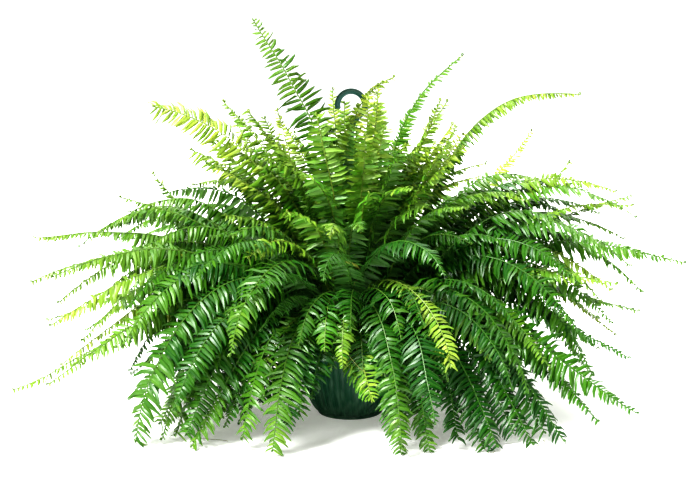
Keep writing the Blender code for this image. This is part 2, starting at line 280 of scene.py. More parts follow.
# Damp peat: nearly black brown, quite matt, with tufts of lighter fibre about 2.5 mm across.
peat, tree = blank_material("damp_peat")
place = add_node(tree, "TexCoord").outputs["Object"]
fibres = add_node(tree, "TexNoise", {"Vector": place, "Scale": 420.0, "Detail": 8.0})
tone = add_node(tree, "MapRange", {"Value": fibres, "From Min": 0.38, "From Max": 0.72})
colour = add_node(tree, "Mix", {0: tone, 6: "1b120b", 7: "5a4027"}, data_type="RGBA")
lumps = add_node(tree, "Bump", {"Height": fibres, "Strength": 0.8, "Distance": 0.001})
skin = add_node(tree, "BsdfPrincipled", {
    "Base Color": colour, "Roughness": 0.92, "Normal": lumps})
add_node(tree, "OutputMaterial", {"Surface": skin})

finish_piece(mix, "potting_mix_fill", [peat], ["potting_mix"], smooth=60.0)


# The crumbs on the mix: chips of pine bark and beads of perlite, a few millimetres across, that
# lie loose on its top round the crown.

CROWN_RADIUS = 0.068
CRUMB_MARGIN = 0.004
BARK_CHIPS = 170
CHIP_SIZE = (0.0075, 0.0045, 0.0020)
CHIP_SEAT = 0.0007  # how high the middle of a chip lies above the mix
PERLITE_BEADS = 90
BEAD_SIZE = (0.0032, 0.0028, 0.0026)
BEAD_SEAT = 0.0008


def joined_copies(name, piece, copies):
    """One mesh of many copies of a modelled piece, from the size, turn and place of each."""
    points = np.array([p.co for p in piece.data.vertices], float)
    faces = [list(f.vertices) for f in piece.data.polygons]
    bpy.data.objects.remove(piece)
    mesh = bpy.data.meshes.new(name)
    mesh.from_pydata(
        np.vstack([points * size @ np.array(turn).T + place
                   for size, turn, place in copies]).tolist(), [],
        [[n + k * len(points) for n in face] for k in range(len(copies)) for face in faces])
    joined = bpy.data.objects.new(name, mesh)
    bpy.context.scene.collection.objects.link(joined)
    return joined


def scattered(name, crumb, count, draws, size, seat):
    """Many turned and scaled copies of a modelled crumb, lying on the mix round the crown."""
    inner, outer = CROWN_RADIUS * 0.98, mix_radius - CRUMB_MARGIN
    copies = []
    for _ in range(count):
        turn = Vector(draws.normal(size=3)).normalized().to_track_quat("Z", "X").to_matrix()
        own_size = np.array(size) * draws.uniform(0.6, 1.3)
        reach = math.sqrt(draws.uniform(inner ** 2, outer ** 2))
        way = draws.uniform(0.0, math.tau)
        height = MIX_TOP - MIX_RISE * reach / mix_radius + seat
        copies.append((own_size, turn, (reach * math.cos(way), reach * math.sin(way), height)))
    return joined_copies(name, crumb, copies)


bpy.ops.mesh.primitive_cube_add(size=1.0)
chip = bpy.context.object
bpy.ops.object.mode_set(mode="EDIT")
pick(chip, "FACE", lambda face: face.normal.x > 0.9)
bpy.ops.transform.resize(value=(1.0, 0.55, 0.6))
pick(chip, "FACE", lambda face: face.normal.x < -0.9)
bpy.ops.transform.resize(value=(1.0, 0.8, 0.35))
bpy.ops.mesh.select_all(action="SELECT")
bpy.ops.mesh.bevel(offset=0.12, segments=1, affect="EDGES")
bpy.ops.object.mode_set(mode="OBJECT")
bark = scattered(
    "bark_chips", chip, BARK_CHIPS, np.random.default_rng(4), CHIP_SIZE, CHIP_SEAT)

# Pine bark: dull red brown and flaky, with paler, rougher splits every 1.5 mm or so.
bark_skin, tree = blank_material("pine_bark")
place = add_node(tree, "TexCoord").outputs["Object"]
grain = add_node(tree, "TexNoise", {"Vector": place, "Scale": 600.0, "Detail": 6.0})
colour = add_node(tree, "Mix", {0: grain, 6: "2a170d", 7: "8a5c3a"}, data_type="RGBA")
splits = add_node(tree, "Bump", {"Height": grain, "Strength": 0.6, "Distance": 0.0006})
skin = add_node(tree, "BsdfPrincipled", {
    "Base Color": colour, "Roughness": 0.85, "Normal": splits})
add_node(tree, "OutputMaterial", {"Surface": skin})
finish_piece(bark, "bark_chips", [bark_skin], smooth=30.0)

bpy.ops.mesh.primitive_ico_sphere_add(subdivisions=1, radius=0.5)
beads = scattered("perlite_beads", bpy.context.object, PERLITE_BEADS,
                  np.random.default_rng(9), BEAD_SIZE, BEAD_SEAT)

# Perlite: puffed volcanic glass, chalk white and dead matt, stained by the peat in patches of
# about 3 mm.
perlite, tree = blank_material("perlite")
place = add_node(tree, "TexCoord").outputs["Object"]
stain = add_node(tree, "TexNoise", {"Vector": place, "Scale": 350.0, "Detail": 4.0})
colour = add_node(tree, "Mix", {0: stain, 6: "f2efe6", 7: "b7aa93"}, data_type="RGBA")
skin = add_node(tree, "BsdfPrincipled", {"Base Color": colour, "Roughness": 0.95})
add_node(tree, "OutputMaterial", {"Surface": skin})
finish_piece(beads, "perlite_beads", [perlite], smooth=10.0)


# The crown: the clump of old stem bases that the fronds spring from. It is woody, lumpy and
# covered with brown papery scales, and the stubs of cut fronds stand up from it.

CROWN_FOOT, CROWN_TOP = (corner.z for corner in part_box("crown"))
CROWN_SIDES = 56
CROWN_WAIST = 0.97
CROWN_FALL = 0.75
CROWN_ROUNDS = (0.99, 0.93, 0.84, 0.74, 0.63, 0.52, 0.4, 0.28, 0.15)
CROWN_KNOT = 0.009
KNOT_RISE = 0.004
CROWN_STUBS = 110
STUB_RADIUS = 0.0021
STUB_LENGTH = 0.017
STUB_SPREAD = 0.93
STUB_LEAN = 0.8
STUB_SUNK = 0.003
GAP = 0.0005
GOLDEN_ANGLE = 137.508  # degrees from one stem base to the next


def crown_height(reach):
    """Top of the crown at this distance from its middle: a low dome."""
    share = min(1.0, reach / CROWN_RADIUS)
    return CROWN_FOOT + (CROWN_TOP - CROWN_FOOT) * (1.0 - CROWN_FALL * share * share)


rounds = [CROWN_RADIUS * share for share in CROWN_ROUNDS]
crown = round_form(CROWN_SIDES, CROWN_RADIUS * CROWN_WAIST, CROWN_FOOT + GAP,
                   [(reach, crown_height(reach)) for reach in rounds])
face_outwards()
bpy.ops.mesh.subdivide(number_cuts=1)
bpy.ops.object.mode_set(mode="OBJECT")
knots = bpy.data.textures.new("knots", "CLOUDS")
knots.noise_scale = CROWN_KNOT
lumpy = crown.modifiers.new("lumpy", "DISPLACE")
lumpy.texture = knots
lumpy.strength = KNOT_RISE
lumpy.mid_level = 0.75
bpy.ops.object.modifier_apply(modifier=lumpy.name)

# Scaly rhizome: dull papery scales about 2.5 mm across, dark umber in the middle and rusty at
# their edges, in tufts of about 6 mm.
scaly, tree = blank_material("scaly_rhizome")
place = add_node(tree, "TexCoord").outputs["Object"]
scales = add_node(tree, "TexVoronoi", {"Vector": place, "Scale": 420.0})
husk = add_node(tree, "TexNoise", {"Vector": place, "Scale": 160.0, "Detail": 5.0})
tone = add_node(tree, "Math", {0: scales, 1: husk}, operation="MULTIPLY")
tone = add_node(tree, "MapRange", {"Value": tone, "From Min": 0.08, "From Max": 0.42})
colour = add_node(tree, "Mix", {0: tone, 6: "2b1a0e", 7: "8d6236"}, data_type="RGBA")
husks = add_node(tree, "Bump", {"Height": tone, "Strength": 0.7, "Distance": 0.001})
skin = add_node(tree, "BsdfPrincipled", {
    "Base Color": colour, "Roughness": 0.8, "Normal": husks})
add_node(tree, "OutputMaterial", {"Surface": skin})
finish_piece(crown, "crown_clump", [scaly], ["crown"], smooth=50.0)

# one stub, 1 long and about 1 in radius, is copied round the crown and leans outwards
stub = round_form(6, 1.0, 0.0, [(1.25, 0.2), (0.95, 0.5), (0.8, 0.85), (0.55, 1.0)])
face_outwards()
bpy.ops.object.mode_set(mode="OBJECT")
draws = np.random.default_rng(21)
stubs = []
for k in range(CROWN_STUBS):
    way = math.radians(GOLDEN_ANGLE * k)
    reach = CROWN_RADIUS * STUB_SPREAD * math.sqrt((k + 0.5) / CROWN_STUBS)
    lean = Vector((
        math.cos(way) * STUB_LEAN * reach / CROWN_RADIUS + draws.normal(0, 0.12),
        math.sin(way) * STUB_LEAN * reach / CROWN_RADIUS + draws.normal(0, 0.12), 1.0))
    size = np.array((STUB_RADIUS, STUB_RADIUS, STUB_LENGTH)) * draws.uniform(0.6, 1.2)
    place = (reach * math.cos(way), reach * math.sin(way), crown_height(reach) - STUB_SUNK)
    stubs.append((size, lean.to_track_quat("Z", "X").to_matrix(), place))
stem_bases = joined_copies("stem_bases", stub, stubs)
finish_piece(stem_bases, "stem_bases", [scaly], smooth=50.0)


# The hanger: a hook moulded as a strip of I section, a small hub under its stem, and three rods
# from the hub to the rim, all of the same green polypropylene, clipped together.

HOOK_CENTRE = Vector((0.002, 0.0, 0.529))
HOOK_RADIUS = 0.0228
HOOK_WIDTH = 0.0094
HOOK_THICK = 0.0052
HOOK_EDGE = 0.0020
HOOK_GROOVE = 0.0013
HOOK_FREE_END = math.radians(196.0)
HOOK_TURNS_IN = math.radians(-52.0)
HOOK_STEPS = 40
EDGE_ROUNDING = 0.0005
STEM_BOTTOM = 0.462
HUB_RADIUS = 0.009
HUB_HEIGHT = 0.008
RODS = 3
ROD_START = 108.0
ROD_RADIUS = 0.0017
ROD_FOOT_RADIUS = 0.0945
ROD_FOOT_HEIGHT = 0.120
ROD_SEAT = 0.6  # share of the hub's radius at which a rod starts
ROD_BOW = 0.012

# The same plastic and grain as the pot's, a little bluer and cleaner, since water doesn't reach
# it, with faint flow marks about 11 mm apart.
hanger_plastic, tree = blank_material("clean_green_polypropylene")
place = add_node(tree, "TexCoord").outputs["Object"]
flow = add_node(tree, "TexNoise", {"Vector": place, "Scale": 90.0, "Detail": 3.0})
colour = add_node(tree, "Mix", {0: flow, 6: "08322a", 7: "12443a"}, data_type="RGBA")
blasting = add_node(tree, "TexNoise", {"Vector": place, "Scale": 900.0, "Detail": 2.0})
grain = add_node(tree, "Bump", {"Height": blasting, "Strength": 0.1, "Distance": 0.0003})
skin = add_node(tree, "BsdfPrincipled", {
    "Base Color": colour, "Roughness": 0.34, "Normal": grain, "IOR": 1.49})
add_node(tree, "OutputMaterial", {"Surface": skin})

free_end = HOOK_CENTRE + HOOK_RADIUS * Vector(
    (math.cos(HOOK_FREE_END), 0.0, math.sin(HOOK_FREE_END)))
bpy.ops.mesh.primitive_plane_add(size=1.0, location=free_end)
hook = bpy.context.object
hook.scale = (HOOK_WIDTH, HOOK_THICK, 1.0)
hook.rotation_euler = (0.0, math.pi - HOOK_FREE_END, 0.0)
bpy.ops.object.transform_apply(location=True, rotation=True, scale=True)
bpy.ops.object.mode_set(mode="EDIT")
bpy.ops.mesh.select_all(action="SELECT")
bpy.ops.mesh.spin(
    steps=HOOK_STEPS, angle=HOOK_TURNS_IN - HOOK_FREE_END, center=HOOK_CENTRE,
    axis=(0.0, 1.0, 0.0))
turns_in = HOOK_CENTRE + HOOK_RADIUS * Vector(
    (math.cos(HOOK_TURNS_IN), 0.0, math.sin(HOOK_TURNS_IN)))
# the strip turns back on a smaller arc to stand straight under the middle of the hook
spoke = (turns_in - HOOK_CENTRE).normalized()
back_turn = (turns_in.x - HOOK_CENTRE.x) / (1.0 - spoke.x)
bpy.ops.mesh.spin(
    steps=HOOK_STEPS // 3, angle=math.pi - math.atan2(-spoke.z, -spoke.x),
    center=turns_in + spoke * back_turn, axis=(0.0, 1.0, 0.0))
bend_end = (turns_in + spoke * back_turn).z
bpy.ops.mesh.extrude_region_move(
    TRANSFORM_OT_translate={"value": (0.0, 0.0, STEM_BOTTOM + HUB_HEIGHT - bend_end)})
bpy.ops.mesh.select_all(action="SELECT")
bpy.ops.mesh.remove_doubles(threshold=1e-6)
face_outwards()
pick(hook, "FACE", lambda face: abs(face.normal.y) > 0.99)
bpy.ops.mesh.inset(thickness=HOOK_EDGE, depth=-HOOK_GROOVE, use_boundary=True)
bpy.ops.object.mode_set(mode="OBJECT")
soft_edges = hook.modifiers.new("soft_edges", "BEVEL")
soft_edges.width = EDGE_ROUNDING
soft_edges.segments = 2
soft_edges.limit_method = "ANGLE"
soft_edges.angle_limit = math.radians(50.0)
bpy.ops.object.modifier_apply(modifier=soft_edges.name)
finish_piece(hook, "hook_strip", [hanger_plastic], ["hanger_hook"], smooth=35.0)

hub = round_form(40, HUB_RADIUS * 0.7, STEM_BOTTOM, [
    (HUB_RADIUS * 0.94, STEM_BOTTOM + 0.0004), (HUB_RADIUS, STEM_BOTTOM + 0.0014),
    (HUB_RADIUS, STEM_BOTTOM + HUB_HEIGHT - 0.0024),
    (HUB_RADIUS * 0.92, STEM_BOTTOM + HUB_HEIGHT - 0.0012),
    (HUB_RADIUS * 0.55, STEM_BOTTOM + HUB_HEIGHT - GAP),
])
face_outwards()
bpy.ops.transform.translate(value=(HOOK_CENTRE.x, 0.0, 0.0))
bpy.ops.object.mode_set(mode="OBJECT")
finish_piece(hub, "hanger_boss", [hanger_plastic], ["hanger_hub"])


def thicken(curve, radius, steps, roundness):
    """Gives a curve its thickness and closed ends, and makes it a mesh."""
    curve.data.resolution_u = steps
    curve.data.bevel_depth = radius
    curve.data.bevel_resolution = roundness
    curve.data.use_fill_caps = True
    bpy.ops.object.convert(target="MESH")
    bpy.ops.object.mode_set(mode="EDIT")
    bpy.ops.mesh.select_all(action="SELECT")
    bpy.ops.mesh.remove_doubles(threshold=1e-6)
    face_outwards()
    bpy.ops.object.mode_set(mode="OBJECT")
    return bpy.context.object


for k in range(RODS):
    turn = math.radians(ROD_START + 360.0 / RODS * k)
    way = Vector((math.cos(turn), math.sin(turn), 0.0))
    top = Vector((HOOK_CENTRE.x, 0.0, STEM_BOTTOM - GAP - ROD_RADIUS))
    top = top + way * HUB_RADIUS * ROD_SEAT
    foot = way * ROD_FOOT_RADIUS + Vector((0.0, 0.0, ROD_FOOT_HEIGHT))
    bow = way * ROD_BOW * 4 / 3
    bpy.ops.curve.primitive_bezier_curve_add()
    rod = bpy.context.object
    start, end = rod.data.splines[0].bezier_points
    start.handle_left_type = start.handle_right_type = "FREE"
    end.handle_left_type = end.handle_right_type = "FREE"
    start.co, end.co = top, foot
    start.handle_right = top.lerp(foot, 1 / 3) + bow
    end.handle_left = top.lerp(foot, 2 / 3) + bow
    start.handle_left, end.handle_right = top, foot
    rod = thicken(rod, ROD_RADIUS, 24, 3)
    finish_piece(
        rod, f"hanger_rod_{k + 1}", [hanger_plastic], [f"hanger_strand_{k + 1}"])


# The fronds: each is one leaf of the fern, a wiry rib with a row of thin leaflets on each side.
# They rise from the crown, arch over and hang, and their leaflets shrink towards a fine tip.
# One leaflet is modelled, then copied along each rib and bent to its place in mesh code, since
# no operator bends thousands of copies each its own way.

# A leaflet's stations: how far along it is, and its half widths, as shares of its full width,
# on the side nearer the frond's foot and on the side nearer its tip, which has a small ear.
EAR = 0.62
FULL_LEAFLET = (
    (0.0, 0.08, 0.10), (0.10, 0.43, EAR), (0.52, 0.46, 0.49), (0.88, 0.21, 0.26),
)
PLAIN_LEAFLET = ((0.0, 0.10, 0.12), (0.15, 0.46, 0.60), (0.72, 0.36, 0.40))
LEAFLET_THICK = 0.0005
LEAFLET_CUP = -0.16  # how far the margins stand above the midrib, as a share of the half width
LEAFLET_LEAST = 0.0130
WIDTH_LEAST = 0.0044  # to this, a leaflet adds a share of its length in width
WIDTH_PER_LENGTH = 0.048
LEAFLET_REACH = 0.51  # the longest leaflet's length, as a share of the frond's full width
STEP_PER_WIDTH = 1.20  # from one leaflet to the next on the same side, in leaflet widths
TAIL_STEP = 1.25  # how much further apart the leaflets stand on a thin tail
LOST_LEAFLETS = 0.025
DRY_LEAFLETS = 0.0008
BARE_STALK = 0.12
FIRST_SIZE = 0.38  # the lowest leaflets, against the longest
FULL_FROM = 0.30  # the share of the blade where they have reached full size
TAPER_FROM = 0.62
TAPER_BY = 0.80
TAIL_REACH = 0.85
SWEPT = 24.0  # degrees that the leaflets lean to the tip by the frond's end
LIFTED = 14.0  # degrees that stiff leaflets stand up from the rib
HANG_DROP = 40.0  # and that hanging ones drop from there
TWISTED = 17.0
DROOP = 0.40  # how strongly a leaflet's length bends down, back from its face, and to the tip
RECURVE = 0.85
HOOKED = 0.75
RIPPLE = 0.14
YOUNG_RIPPLE = 0.4
RIPPLES = 7.0
TONE_RANGE = (0.35, 0.95)
PAINTED_SHADE_STRENGTH = 0.75
PAINTED_FROND_SHADE = 1.2
PAINTED_SHADE_REACH = 0.12  # how far from the crown the deepest painted shade ends, and how far its edge fades
PAINTED_SHADE_FADE = 0.26
RIB_SIDES = 5
RIB_POINTS = 38
RIB_THICK = 0.0015
RIB_THIN = 0.0008
PATH_POINTS = 161
WAVER = 0.0012  # how far a rib wavers near its tip, and how much more it does on a thin tail
TAIL_WAVER = 0.0035
WAVER_LENGTH = (0.07, 0.11)
CURL_TURN = 11.0
CURL_POINTS = 9
CURL_STEPS = 14
CURL_RADIUS = 0.0021
CURL_CLOSING = 0.55
CURL_THICK = 0.0010
ROLLED_BY = 0.4
LAUNCH_LOW = 28.0
LAUNCH_HIGH = 88.0
ROOT_OUTER = 0.058
ROOT_INNER = 0.012
LEAST_RISE = 0.45
ARCH_RISE = 0.42
TIP_RUN = 0.42
FLOOR_CLEARANCE = 0.0012
FLOOR_SPREAD = 0.0012
FLOOR_GAP = 0.0003  # the least that any point of a leaflet or rib stands above the ground
RIB_STRIP = 0.06  # the share of the piece's own map that its ribs take
CELL_MARGIN = 0.06


def model_leaflet(stations):
    """One leaflet, 1 long and 1 wide, along +X, its upper face up: a ring of two margin points
    and two midrib points, drawn out from its foot to its tip."""
    bpy.ops.object.select_all(action="DESELECT")
    bpy.ops.mesh.primitive_circle_add(
        vertices=4, radius=1.0, fill_type="NGON", rotation=(0.0, math.pi / 2, 0.0))
    leaflet = bpy.context.object
    bpy.ops.object.transform_apply(rotation=True)
    bpy.ops.object.mode_set(mode="EDIT")
    bpy.ops.mesh.select_all(action="SELECT")
    here, wide = 0.0, 1.0
    for along, lower, upper in stations:
        if along > 0.0:
            bpy.ops.mesh.extrude_region_move(
                TRANSFORM_OT_translate={"value": (along - here, 0.0, 0.0)})
        width = (lower + upper) / 2
        bpy.ops.transform.resize(
            value=(1.0, width / wide, 1.0), center_override=(along, 0.0, 0.0))
        here, wide = along, width
    bpy.ops.mesh.extrude_region_move(TRANSFORM_OT_translate={"value": (1.0 - here, 0.0, 0.0)})
    bpy.ops.mesh.merge(type="CENTER")
    for along, lower, upper in stations:
        for sign, reach in ((-1, lower), (1, upper)):
            pick(leaflet, "VERT", lambda point: abs(point.co.x - along) < 1e-4
                 and sign * point.co.y > 0.01)
            bpy.ops.transform.translate(value=(0.0, sign * (reach - (lower + upper) / 2), 0.0))
    face_outwards()
    bpy.ops.object.mode_set(mode="OBJECT")
    form = leaflet_form(leaflet)
    bpy.data.objects.remove(leaflet)
    return form


def leaflet_form(leaflet):
    """The modelled leaflet as arrays: its points, its faces, the order that reads each face the
    other way round, and where each corner lies on the leaflet and in its cell of the map."""
    points = np.array([p.co for p in leaflet.data.vertices], float)
    faces = [list(f.vertices) for f in leaflet.data.polygons]
    stations = np.unique(points[:, 0].round(4))
    station = np.searchsorted(stations, points[:, 0].round(4))
    reach = np.array([np.abs(points[station == s, 1]).max() for s in range(len(stations))])
    cell, across, under = [], [], []
    for face, polygon in zip(faces, leaflet.data.polygons):
        middle, is_under = points[face].mean(0), polygon.normal.z < 0
        strip = (2 if is_under else 0) + (1 if middle[1] < 0 else 0)
        for n in face:
            limit = max(reach[station[n]], 1e-9)
            share = 0.5 if limit < 1e-6 else abs(points[n, 1]) / limit
            cell.append((points[n, 0], (strip + 0.04 + 0.92 * share) / 4))
            across.append((points[n, 0], share * (1 if middle[1] > 0 else -1)))
            under.append(1.0 if is_under else 0.0)
    starts = np.cumsum([0] + [len(face) for face in faces])
    for start, face in zip(starts, faces):
        if points[face][:, 0].max() < 1e-6:  # the leaflet's foot, seen end on
            for n in range(len(face)):
                cell[start + n] = (-0.02 * (1 + (n % 2)), 0.3 + 0.4 * (n // 2))
    return {
        "points": points, "station": station, "stations": stations,
        "corners": np.concatenate(faces), "sizes": np.diff(starts),
        "flipped": np.concatenate([start + np.arange(len(face))[::-1]
                                   for start, face in zip(starts, faces)]),
        "cell": np.array(cell), "across": np.array(across), "under": np.array(under),
    }


def heading(azimuth, pitch):
    """Unit vector round from +X by azimuth and up by pitch, in degrees."""
    a, p = math.radians(azimuth), math.radians(pitch)
    return np.array((math.cos(a) * math.cos(p), math.sin(a) * math.cos(p), math.sin(p)))


def unit(rows):
    """Each row scaled to length 1."""
    return rows / np.linalg.norm(rows, axis=-1, keepdims=True)


def rib_line(face, launch, tip, pitch, roll, draws, tail):
    """Points along the rib, with the ways ahead, to the left and up from its upper face."""
    steep = (launch - LAUNCH_LOW) / (LAUNCH_HIGH - LAUNCH_LOW)
    reach = ROOT_OUTER + (ROOT_INNER - ROOT_OUTER) * steep
    foot = heading(face, 0.0) * reach
    foot[2] = crown_height(reach) + 2 * GAP
    tip = np.array(tip, float)
    length = np.linalg.norm(tip - foot)
    away = math.degrees(math.atan2(tip[1] - foot[1], tip[0] - foot[0]))
    rise = LEAST_RISE + ARCH_RISE * max(0.0, -pitch) / 90.0
    a, b = foot, foot + heading(face, launch) * length * rise
    c, d = tip - heading(away, pitch) * length * TIP_RUN, tip
    t = np.linspace(0.0, 1.0, PATH_POINTS)[:, None]
    s = 1.0 - t
    points = s ** 3 * a + 3 * s * s * t * b + 3 * s * t * t * c + t ** 3 * d
    ahead = unit(np.gradient(points, axis=0))
    flat = heading(face + 90.0, 0.0)
    side = unit(flat - (ahead @ flat)[:, None] * ahead)
    up = np.cross(ahead, side)
    # a slow waver, stronger where the rib is thin
    phase, beat = draws.uniform(0.0, math.tau, 2), length / draws.uniform(*WAVER_LENGTH)
    sway = (WAVER + TAIL_WAVER * tail) * t ** 2 * (1.0 - t * (1 - tail) * 0.3)
    points = points + sway * np.sin(phase[0] + math.tau * beat * t) * side
    points = points + 0.7 * sway * np.sin(phase[1] + math.tau * 0.8 * beat * t) * up
    ahead = unit(np.gradient(points, axis=0))
    side = unit(side - (side * ahead).sum(1)[:, None] * ahead)
    up = np.cross(ahead, side)
    turn = np.radians(roll) * np.minimum(1.0, t / ROLLED_BY)
    side, up = np.cos(turn) * side + np.sin(turn) * up, np.cos(turn) * up - np.sin(turn) * side
    length = np.linalg.norm(np.diff(points, axis=0), axis=1).sum()
    # the growing tip is curled up towards the upper face
    turn = np.linspace(0.0, CURL_TURN * draws.uniform(0.5, 1.0), CURL_STEPS + 1)[1:, None]
    wide = CURL_RADIUS * (1.0 - CURL_CLOSING * turn / CURL_TURN)
    end, end_ahead, end_side, end_up = points[-1], ahead[-1], side[-1], up[-1]
    curl = end + wide * (np.sin(turn) * end_ahead + (1.0 - np.cos(turn)) * end_up)
    points = np.vstack([points, curl])
    ahead = np.vstack([ahead, np.cos(turn) * end_ahead + np.sin(turn) * end_up])
    up = np.vstack([up, np.cos(turn) * end_up - np.sin(turn) * end_ahead])
    side = np.vstack([side, np.repeat(end_side[None], len(turn), axis=0)])
    run = np.concatenate([[0.0], np.cumsum(np.linalg.norm(np.diff(points, axis=0), axis=1))])
    return {"points": points, "ahead": ahead, "side": side, "up": up, "run": run,
            "length": length}


def at_run(line, run, *keys):
    """A rib's points or ways at these distances along it."""
    return [np.stack([np.interp(run, line["run"], line[key][:, k]) for k in range(3)], axis=-1)
            for key in keys]


def leaflet_size(share, tail):
    """Leaflet length at this share of the blade, against the longest: swell, full, taper."""
    swell = np.sin(0.5 * math.pi * np.clip(share / FULL_FROM, 0.0, 1.0))
    swell = FIRST_SIZE + (1.0 - FIRST_SIZE) * swell
    taper_from, taper_to = TAPER_FROM - 0.45 * tail, 1.0 - TAIL_REACH * tail
    fall = np.clip((share - taper_from) / (taper_to - taper_from), 0.0, 1.0)
    return swell * (1.0 - TAPER_BY * fall ** 1.7)


def leaflet_width(long):
    """Full width of a leaflet of this length: the short ones are rounder."""
    return WIDTH_LEAST + WIDTH_PER_LENGTH * long


def leaflet_runs(length, width, tail, sparse, draws):
    """How far along the rib each leaflet stands, and its side: 1 for left and -1 for right."""
    runs, run = [], BARE_STALK * length
    while run < length - 0.001:
        share = (run / length - BARE_STALK) / (1.0 - BARE_STALK)
        long = max(LEAFLET_REACH * width * float(leaflet_size(share, tail)), LEAFLET_LEAST)
        runs.append(run)
        in_tail = share > 1.0 - TAIL_REACH * tail
        step = STEP_PER_WIDTH * sparse * leaflet_width(long) * (TAIL_STEP if in_tail else 1.0)
        run += 0.5 * step * draws.uniform(0.90, 1.10)
    sign = np.where(np.arange(len(runs)) % 2 == 0, 1.0, -1.0)
    kept = draws.random(len(runs)) > LOST_LEAFLETS
    return np.array(runs)[kept], sign[kept]


def leaflet_points(form, middle, way, across, sign, wide, young, draws):
    """Every leaflet's points: its margins stand off its bent midrib, and ripple."""
    local, spot = form["points"], form["station"]
    normal = -sign[:, None, None] * np.cross(way, across)
    ripple = draws.uniform(0.0, math.tau, (len(sign), 1))
    lift = np.abs(local[:, 1]) * LEAFLET_CUP * 2.0 * wide[:, None]
    wave = (RIPPLE + YOUNG_RIPPLE * young) * np.sin(ripple + RIPPLES * local[:, 0])
    lift = lift + wave * wide[:, None] * local[:, 1]
    lift = lift + np.where(np.abs(local[:, 1]) < 1e-3, local[:, 2], 0.0) * LEAFLET_THICK / 2
    points = (
        middle[:, spot] + across[:, spot] * (local[:, 1] * wide[:, None])[..., None]
        + normal[:, spot] * lift[..., None]
    )
    points[..., 2] = np.maximum(points[..., 2], FLOOR_GAP)
    return points


def leaflet_looks(foot, share, young, draws):
    """Each leaflet's age, its tone with painted shade in it, and its dryness."""
    count = len(share)
    # a frond uncurls from its foot, so its tip is the youngest part
    age = np.clip(young + 0.6 * np.clip((share - 0.45) / 0.5, 0.0, 1.0) ** 1.5 * (0.4 + young)
                  + draws.normal(0.0, 0.05, count), 0.0, 1.0)
    # painted shade: the leaflets deep inside the plant, where its own fronds shade them, are
    # painted the darkest
    depth = np.linalg.norm(foot - np.array((0.0, 0.0, CROWN_TOP)), axis=1)
    painted_shade = 1.0 - np.clip((depth - PAINTED_SHADE_REACH) / PAINTED_SHADE_FADE, 0.0, 1.0)
    # and the whole of a frond whose youth is under 0 is darkened too, also painted shade
    tone = draws.uniform(*TONE_RANGE) - PAINTED_SHADE_STRENGTH * painted_shade + PAINTED_FROND_SHADE * min(young, 0.0)
    tone = np.clip(tone + draws.normal(0.0, 0.14, count), 0.0, 1.0)
    dry = (draws.random(count) < DRY_LEAFLETS) * draws.uniform(0.3, 0.8, count)
    return {"age": age, "tone": tone, "dry": dry}


def leaflets_on(line, width, young, hang, tail, draws, form):
    """Every leaflet of one frond: its bent points, its side of the rib, and its looks."""
    length = line["length"]
    broad, sparse = draws.uniform(0.92, 1.12), draws.uniform(0.94, 1.08)
    runs, sign = leaflet_runs(length, width, tail, sparse, draws)
    count = len(runs)
    share = (runs / length - BARE_STALK) / (1.0 - BARE_STALK)
    small = np.clip((share - 0.9) / 0.1, 0.0, 1.0)
    size = leaflet_size(share, tail)
    long = np.maximum(LEAFLET_REACH * width * size, LEAFLET_LEAST * (1.0 - 0.5 * small))
    long = long * draws.normal(1.0, 0.07, count)
    wide = leaflet_width(long) * broad * (1.0 - 0.3 * small) * draws.normal(1.0, 0.06, count)
    foot, ahead, side, up = at_run(line, runs, "points", "ahead", "side", "up")
    ahead, side, up = unit(ahead), unit(side), unit(up)

    def column(values):
        return np.broadcast_to(values, (count,))[:, None]

    # each leaflet's way out from the rib, swept towards the tip, dropped and twisted
    sweep = np.radians(90.0 - SWEPT * share ** 2 + draws.normal(0.0, 6.0, count))
    drop = HANG_DROP * hang - LIFTED + draws.normal(0.0, 9.0, count) * (1.0 + 2.0 * small)
    drop = np.radians(drop)
    out = column(sign) * side
    out = column(np.cos(drop)) * out - column(np.sin(drop)) * up
    away = column(np.cos(sweep)) * ahead + column(np.sin(sweep)) * out
    to_tip = unit(ahead - (ahead * away).sum(1)[:, None] * away)
    over = column(-sign) * np.cross(away, to_tip)
    twist = draws.normal(0.0, 11.0 + 14.0 * young + 22.0 * (1.0 - size), count)
    twist = np.radians(TWISTED + twist)
    edge = column(np.cos(twist)) * to_tip + column(np.sin(twist)) * over
    # where the rib itself hangs, the leaflets stand out from it more than they droop
    hanging = np.clip(-ahead[:, 2], 0.0, 1.0)
    droop = column((DROOP + hang) * (1.0 - 0.75 * hanging) * draws.normal(1.0, 0.25, count))
    recurve = column(RECURVE * draws.normal(1.0, 0.3, count))
    hooked = column(HOOKED + draws.normal(0.0, 0.20, count))
    down = np.array((0.0, 0.0, -1.0))

    stations = form["stations"]
    middles, ways = [foot], []
    for k, u in enumerate(stations):
        bent = away + down * droop * u ** 1.3 - up * recurve * u + to_tip * hooked * u * u
        ways.append(unit(bent))
        if k:
            step = (u - stations[k - 1]) * long[:, None]
            middles.append(middles[-1] + step * 0.5 * (ways[-1] + ways[-2]))
    middle, way = np.stack(middles, 1), np.stack(ways, 1)
    across = unit(edge[:, None, :] - (edge[:, None, :] * way).sum(-1, keepdims=True) * way)
    # a leaflet that meets the ground lies along it
    floor = FLOOR_CLEARANCE + FLOOR_SPREAD * draws.random(count)[:, None]
    middle[..., 2] = np.maximum(middle[..., 2], floor)
    room = np.maximum(middle[..., 2] - 2 * FLOOR_GAP, 0.0) / (EAR * wide[:, None])
    across[..., 2] = np.clip(across[..., 2], -room, room)
    across = unit(across)
    points = leaflet_points(form, middle, way, across, sign, wide, young, draws)
    return {"points": points, "sign": sign, **leaflet_looks(foot, share, young, draws)}


